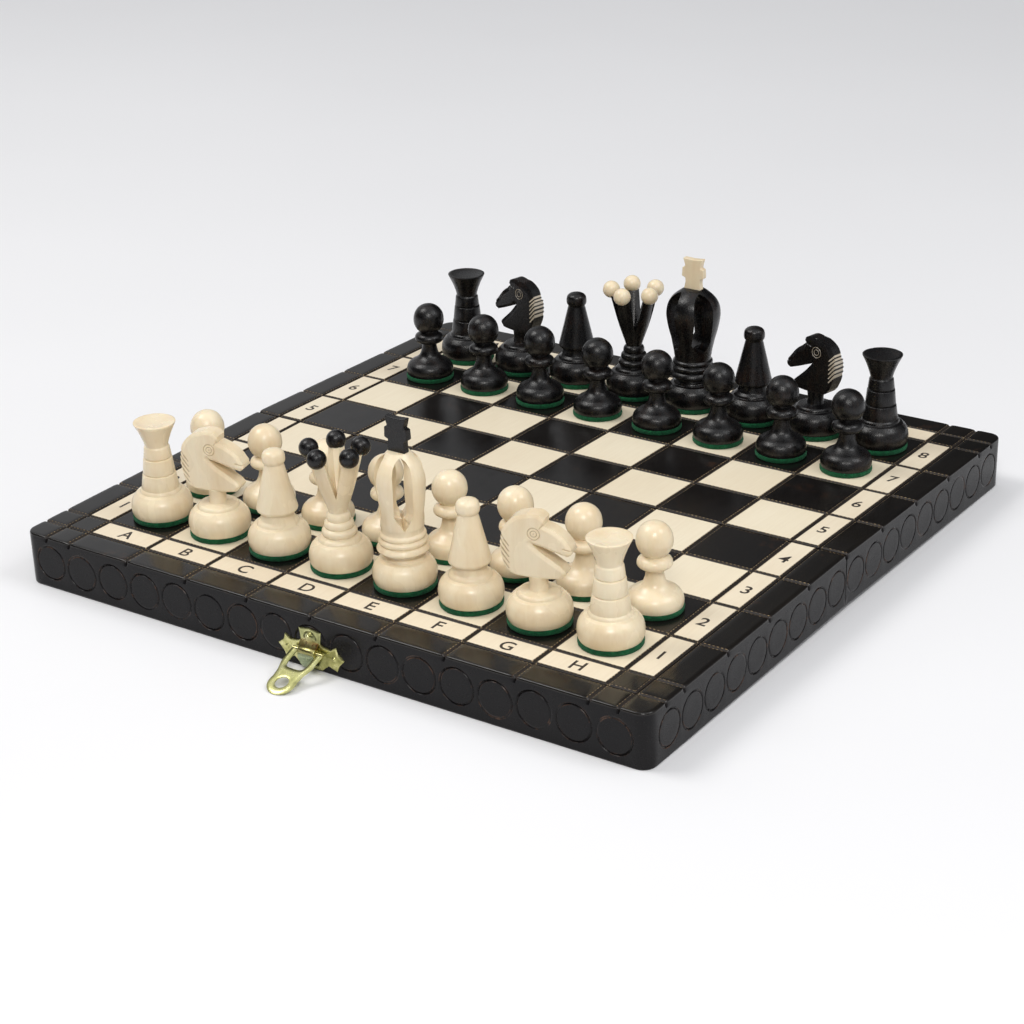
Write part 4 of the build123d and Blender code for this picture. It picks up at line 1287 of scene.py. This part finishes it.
# sections (y, z) of the bridge over the barrel, and of the tongue behind it with y from the barrel
BRIDGE = [(HALF + 0.5, 14.9), (HALF + 1.9, 13.6), (CLASP_Y + 0.2, 12.3), (CLASP_Y + 0.1, 11.5),
          (HALF + 1.6, 12.9), (HALF + 0.5, 13.9)]
TONGUE = [(1.2, 10.9), (1.95, 9.6), (2.15, 7.4), (1.5, 4.4), (0.3, 2.0), (-0.5, 1.6), (-0.4, 2.2),
          (0.8, 4.8), (1.4, 7.4), (1.1, 9.2)]


def edge_distance(p, loop):
    return min(segment_distance(p, a, b)[0] for a, b in zip(loop, loop[1:] + loop[:1]))


def sheet_relief(outline, holes, place, thickness):
    """A thin sheet over an outline with holes; place(p, d_edge, d_hole) gives (front height, mark)."""
    loops = [outline] + holes
    points, rims = [], []
    for loop in loops:
        rims += loop_edges(len(points), len(loop))
        points += loop

    def in_hole(q):
        return any(inside(q, h) for h in holes)

    step = RELIEF_STEP
    (x0, x1), (y0, y1) = ((min(q[k] for q in outline), max(q[k] for q in outline)) for k in (0, 1))
    for i in range(int((x1 - x0) / step) + 1):
        for j in range(int((y1 - y0) / step) + 1):
            q = (x0 + (i + 0.5 * (j % 2)) * step, y0 + j * step)
            clear = inside(q, outline) and not in_hole(q)
            if clear and min(edge_distance(q, h) for h in loops) > step * 0.35:
                points.append(q)
    flat, tris = triangulate(points, rims, 2)
    tris = [t for t in tris if not in_hole([sum(flat[k][c] for k in t) / 3 for c in (0, 1)])]
    front, marks = [], []
    for q in flat:
        d_hole = min([edge_distance(q, h) for h in holes] or [9.0])
        height, mark = place(q, edge_distance(q, outline), d_hole)
        front.append((*q, height))
        marks.append(mark)
    back = [(x, y, h - thickness) for x, y, h in front]
    return front + back, close_sheet(tris, len(front)), marks * 2


def fall(d, width):
    """1 at an edge, easing to 0 at width from it."""
    return max(0.0, 1.0 - d / width) ** 2


def subdivide(loop, step):
    """The loop with points no more than about a step apart."""
    out = []
    for a, b in zip(loop, loop[1:] + loop[:1]):
        n = max(1, round(math.dist(a, b) / step))
        out += [(a[0] + (b[0] - a[0]) * k / n, a[1] + (b[1] - a[1]) * k / n) for k in range(n)]
    return out


def plate_height(q, d_edge, _):
    """The star plate: edges rolled back, a crease along each petal and a pressed tab in the top one, its slot
    painted near-black as shade.
    """
    x, z = q
    height = -0.34 * fall(d_edge, 1.0)
    if 5.5 < abs(x) < 12.5:
        height += 0.3 * max(0.0, 1.0 - abs(z - 8.9) / 0.9)
    r = math.hypot(x, z - 15.6)
    if z < 17.2:
        height += 0.5 * max(0.0, min(1.0, (2.7 - r) / 0.7))
    slot = max(0.0, 1.0 - abs(r - 3.3) / 0.45) if z > 15.2 else 0.0
    rust = 0.75 * max(0.0, 1.0 - math.hypot(x * 0.8, z - 12.5) / 5.0)
    # the third mark is painted shade in the slot
    return height - 0.4 * slot, (rust, 0.25 if z > 14.5 else 0.0, 0.85 * min(1.0, 1.6 * slot))


def hasp_height(_, d_edge, d_hole):
    """The hasp: its outer edge and the rim of its ring rolled down."""
    return 0.5 - 0.42 * fall(d_edge, 1.9) - 0.14 * fall(d_hole, 0.9), (0.0, 0.12, 0.0)


def hasp_outline():
    """Two arms round a window, open at the bar, that meet in a ring."""
    side = catmull([(8.7, -1.2), (8.75, 3.4), (8.6, 7.6), (7.9, 10.8), (7.1, 13.6), (6.75, 17.0)], 0.5)
    turns = [math.radians(a) for a in range(-18, 91, 6)]
    end = [(RING_OUT * math.cos(a), HASP_RING + RING_OUT * math.sin(a)) for a in turns]
    window = catmull([(0.0, 11.2), (3.2, 11.0), (4.7, 10.0), (5.3, 7.4), (5.4, 3.0), (5.4, -1.2)], 0.6)
    half = window + side + end
    return half + [(-x, y) for x, y in reversed(half[1:-1])]


def along_x(profile, segments=28):
    """Turns a line of (radius, x) about the X axis."""
    verts, faces = lathe(profile, segments)
    return [(z, x, y) for x, y, z in verts], faces


def strip(section, half_width, steps=8):
    """A section of (y, z) points carried sideways; half_width(z) is how far at each height."""
    m = len(section)
    mid_y = sum(q[0] for q in section) / m
    verts, faces = [], []
    for k in range(steps + 1):
        t = 2 * k / steps - 1
        pinch = 1.0 - 0.12 * abs(t) ** 6
        verts += [(t * half_width(z), mid_y + (y - mid_y) * pinch, z) for y, z in section]
    for k in range(steps):
        faces += [(k * m + j, k * m + (j + 1) % m, (k + 1) * m + (j + 1) % m, (k + 1) * m + j) for j in range(m)]
    faces += [tuple(range(m)), tuple(steps * m + j for j in reversed(range(m)))]
    return verts, faces


def build_plate():
    """The star plate with its bridge, barrel and tongue."""
    left = [(-x, z) for x, z in reversed(STAR)]
    star = subdivide([(0.0, 21.0)] + STAR + [(0.0, 0.9)] + left, 0.6)
    v, f, marks = sheet_relief(star, [], plate_height, PLATE_SHEET)
    sheet = ([(x, HALF + PLATE + h, z) for x, z, h in v], f)
    bridge = strip(BRIDGE, lambda z: 5.0)
    end = BARREL_HALF
    tube = [(0.97, -end), (1.75, -end), (2.0, -end + 0.3), (2.0, 0.0), (2.0, end - 0.3), (1.75, end),
            (0.97, end)]
    v, f = along_x(tube)
    barrel = ([(x, CLASP_Y + y, BARREL_Z + z) for x, y, z in v], f)
    tongue = strip([(CLASP_Y + y, z) for y, z in TONGUE],
                   lambda z: 2.9 + 1.5 * min(1.0, max(0.0, (z - 1.6) / 6.0)))
    marks += [(0.9 if x < -2 else 0.6, 0.0, 0.0) for x, _, _ in bridge[0]]
    marks += [(0.25, 0.1, 0.0)] * len(barrel[0])
    marks += [(0.1 if z > 9 else 0.0, 0.85, 0.0) for _, _, z in tongue[0]]
    name = "clasp_plate_sheet"
    shape = join_parts([sheet, bridge, barrel, tongue])
    mesh = to_mesh(name, *shape, [BRASS], marks=marks, sharp=42, weld=0.001)
    add_object(name, mesh, half_matrix(WHITE), "white_half", ("clasp_plate",))


def build_hasp():
    """The swinging hasp, let down until its ring rests on the table."""
    lift = JOINTS["clasp_swing"]["pos_m"][2] / MM
    drop = math.asin((lift - 0.48) / HASP_END) - SLOPE
    hole = circle((0.0, HASP_RING), RING_HOLE, 30)
    v, f, marks = sheet_relief(subdivide(hasp_outline(), 0.5), [hole], hasp_height, HASP_THICK)
    end = HASP_HALF
    bar = along_x([(0, -end), (0.6, -end), (0.9, 0.3 - end), (0.9, end - 0.3), (0.6, end), (0, end)])
    marks += [(0.3, 0.2, 0.0)] * len(bar[0])
    name = "clasp_hasp_sheet"
    mesh = to_mesh(name, *join_parts([(v, f), bar]), [BRASS], marks=marks, sharp=42, weld=0.001)
    hinge = Matrix.Translation((0, CLASP_Y * MM, BARREL_Z * MM)) @ Matrix.Rotation(-drop, 4, "X")
    add_object(name, mesh, half_matrix(WHITE) @ hinge, "hasp", ("clasp_hasp",))


# ---- carried-over CAD nodes -------------------------------------------------------------------

def dress(node, mat):
    obj = frame["nodes"][node]
    obj.data.materials.clear()
    obj.data.materials.append(mat)


def dress_nodes():
    """Materials for the CAD nodes that stay as they are."""
    for colour in ("white", "black"):
        dress(colour + "_seam_wall", RAIL)
        dress(colour + "_felt_lining", FELT_GREEN)
        dress(colour + "_hinge_leaves", BRASS)
        dress(colour + "_hinge_nails", BRASS)
    for node in ("hinge_pins", "clasp_plate", "clasp_nails", "clasp_hasp", "keeper_plate", "keeper_nails"):
        dress(node, BRASS)
    soften(frame["nodes"]["keeper_plate"], 0.22, 35.0, 3)


# ---- floor, light and camera ------------------------------------------------------------------

def studio():
    """A pale floor and three soft lights."""
    mesh = bpy.data.meshes.new("floor")
    mesh.from_pydata([(-6, -6, 0), (6, -6, 0), (6, 6, 0), (-6, 6, 0)], [], [(0, 1, 2, 3)])
    mesh.materials.append(floor_paint("pale_floor"))
    floor = bpy.data.objects.new("floor", mesh)
    bpy.context.collection.objects.link(floor)
    build_world()

    def area(name, place, aim, size, power, colour):
        light = bpy.data.lights.new(name, "AREA")
        light.shape = "RECTANGLE"
        light.size = light.size_y = size
        light.energy = power
        light.color = colour
        obj = bpy.data.objects.new(name, light)
        bpy.context.collection.objects.link(obj)
        obj.location = place
        obj.rotation_euler = (Vector(aim) - Vector(place)).to_track_quat("-Z", "Y").to_euler()

    area("key", (-1.2, -0.55, 1.95), (0, 0.1, 0), 0.95, 20.0, (1, 0.985, 0.965))
    area("front", (0.75, -1.15, 1.25), (0, 0, 0), 0.5, 10.0, (1, 0.98, 0.95))
    area("side", (1.4, 0.2, 1.7), (0, 0.1, 0), 0.8, 9.5, (0.975, 0.985, 1))
    bpy.context.scene.view_settings.view_transform = "Standard"


WORLD_BASE = 0.04
# azimuth from +y towards +x, elevation, inner and outer half-angle in degrees, strength
WORLD_PANELS = [(0, 90, 12, 46, 0.9), (-68, 18, 14, 42, 0.6), (75, 22, 15, 50, 0.5), (150, 30, 12, 40, 0.55)]


def build_world():
    """A dim room with a broad white ceiling and bright panels to the left and the right."""
    world = bpy.data.worlds.new("studio")
    bpy.context.scene.world = world
    world.use_nodes = True
    tree = world.node_tree
    back = tree.nodes["Background"]
    way = tree.nodes.new("ShaderNodeTexCoord").outputs["Generated"]
    total = None
    for azimuth, elevation, inner, outer, power in WORLD_PANELS:
        az, el = math.radians(azimuth), math.radians(elevation)
        dot = tree.nodes.new("ShaderNodeVectorMath")
        dot.operation = "DOT_PRODUCT"
        tree.links.new(way, dot.inputs[0])
        dot.inputs[1].default_value = (math.sin(az) * math.cos(el), math.cos(az) * math.cos(el), math.sin(el))
        soft = tree.nodes.new("ShaderNodeMapRange")
        soft.interpolation_type = "SMOOTHSTEP"
        tree.links.new(dot.outputs["Value"], soft.inputs["Value"])
        soft.inputs["From Min"].default_value = math.cos(math.radians(outer))
        soft.inputs["From Max"].default_value = math.cos(math.radians(inner))
        soft.inputs["To Max"].default_value = power
        if total is None:
            total = soft.outputs[0]
        else:
            add = tree.nodes.new("ShaderNodeMath")
            tree.links.new(total, add.inputs[0])
            tree.links.new(soft.outputs[0], add.inputs[1])
            total = add.outputs[0]
    floor_level = tree.nodes.new("ShaderNodeMath")
    tree.links.new(total, floor_level.inputs[0])
    floor_level.inputs[1].default_value = WORLD_BASE
    tree.links.new(floor_level.outputs[0], back.inputs[1])
    back.inputs[0].default_value = (0.97, 0.98, 1.0, 1)


CAMERA_TURNS = (-34.86, 23.95, -1.53)  # yaw from +y, pitch down and roll, in degrees
CAMERA_PLACE = (16.81, -24.58, 12.71)  # in squares, from the middle of the board's top
LENS = 36.0 * 2380 / 1024  # sensor width in mm, focal length and image width in pixels


def camera():
    """The viewpoint: a long lens, looking down on the board from beyond its H1 corner."""
    yaw, pitch, roll = (math.radians(a) for a in CAMERA_TURNS)
    place = Vector(CAMERA_PLACE) * SQUARE * MM + Vector((0, 0, HINGE_Z + HEIGHT * MM))
    ahead = Vector((math.sin(yaw) * math.cos(pitch), math.cos(yaw) * math.cos(pitch), -math.sin(pitch)))
    right = Vector((math.cos(yaw), -math.sin(yaw), 0))
    up = right.cross(ahead)
    r = right * math.cos(roll) + up * math.sin(roll)
    u = up * math.cos(roll) - right * math.sin(roll)
    data = bpy.data.cameras.new("camera")
    data.sensor_width = 36.0
    data.lens = LENS
    data.clip_start = 0.05
    data.clip_end = 50
    cam = bpy.data.objects.new("camera", data)
    bpy.context.collection.objects.link(cam)
    cam.matrix_world = Matrix(((r.x, u.x, -ahead.x, place.x), (r.y, u.y, -ahead.y, place.y),
                               (r.z, u.z, -ahead.z, place.z), (0, 0, 0, 1)))
    bpy.context.scene.camera = cam


camera()
studio()
for SIDE in (WHITE, BLACK):
    build_board(SIDE)
    build_letters(SIDE)
    build_men(SIDE)
build_plate()
build_hasp()
dress_nodes()
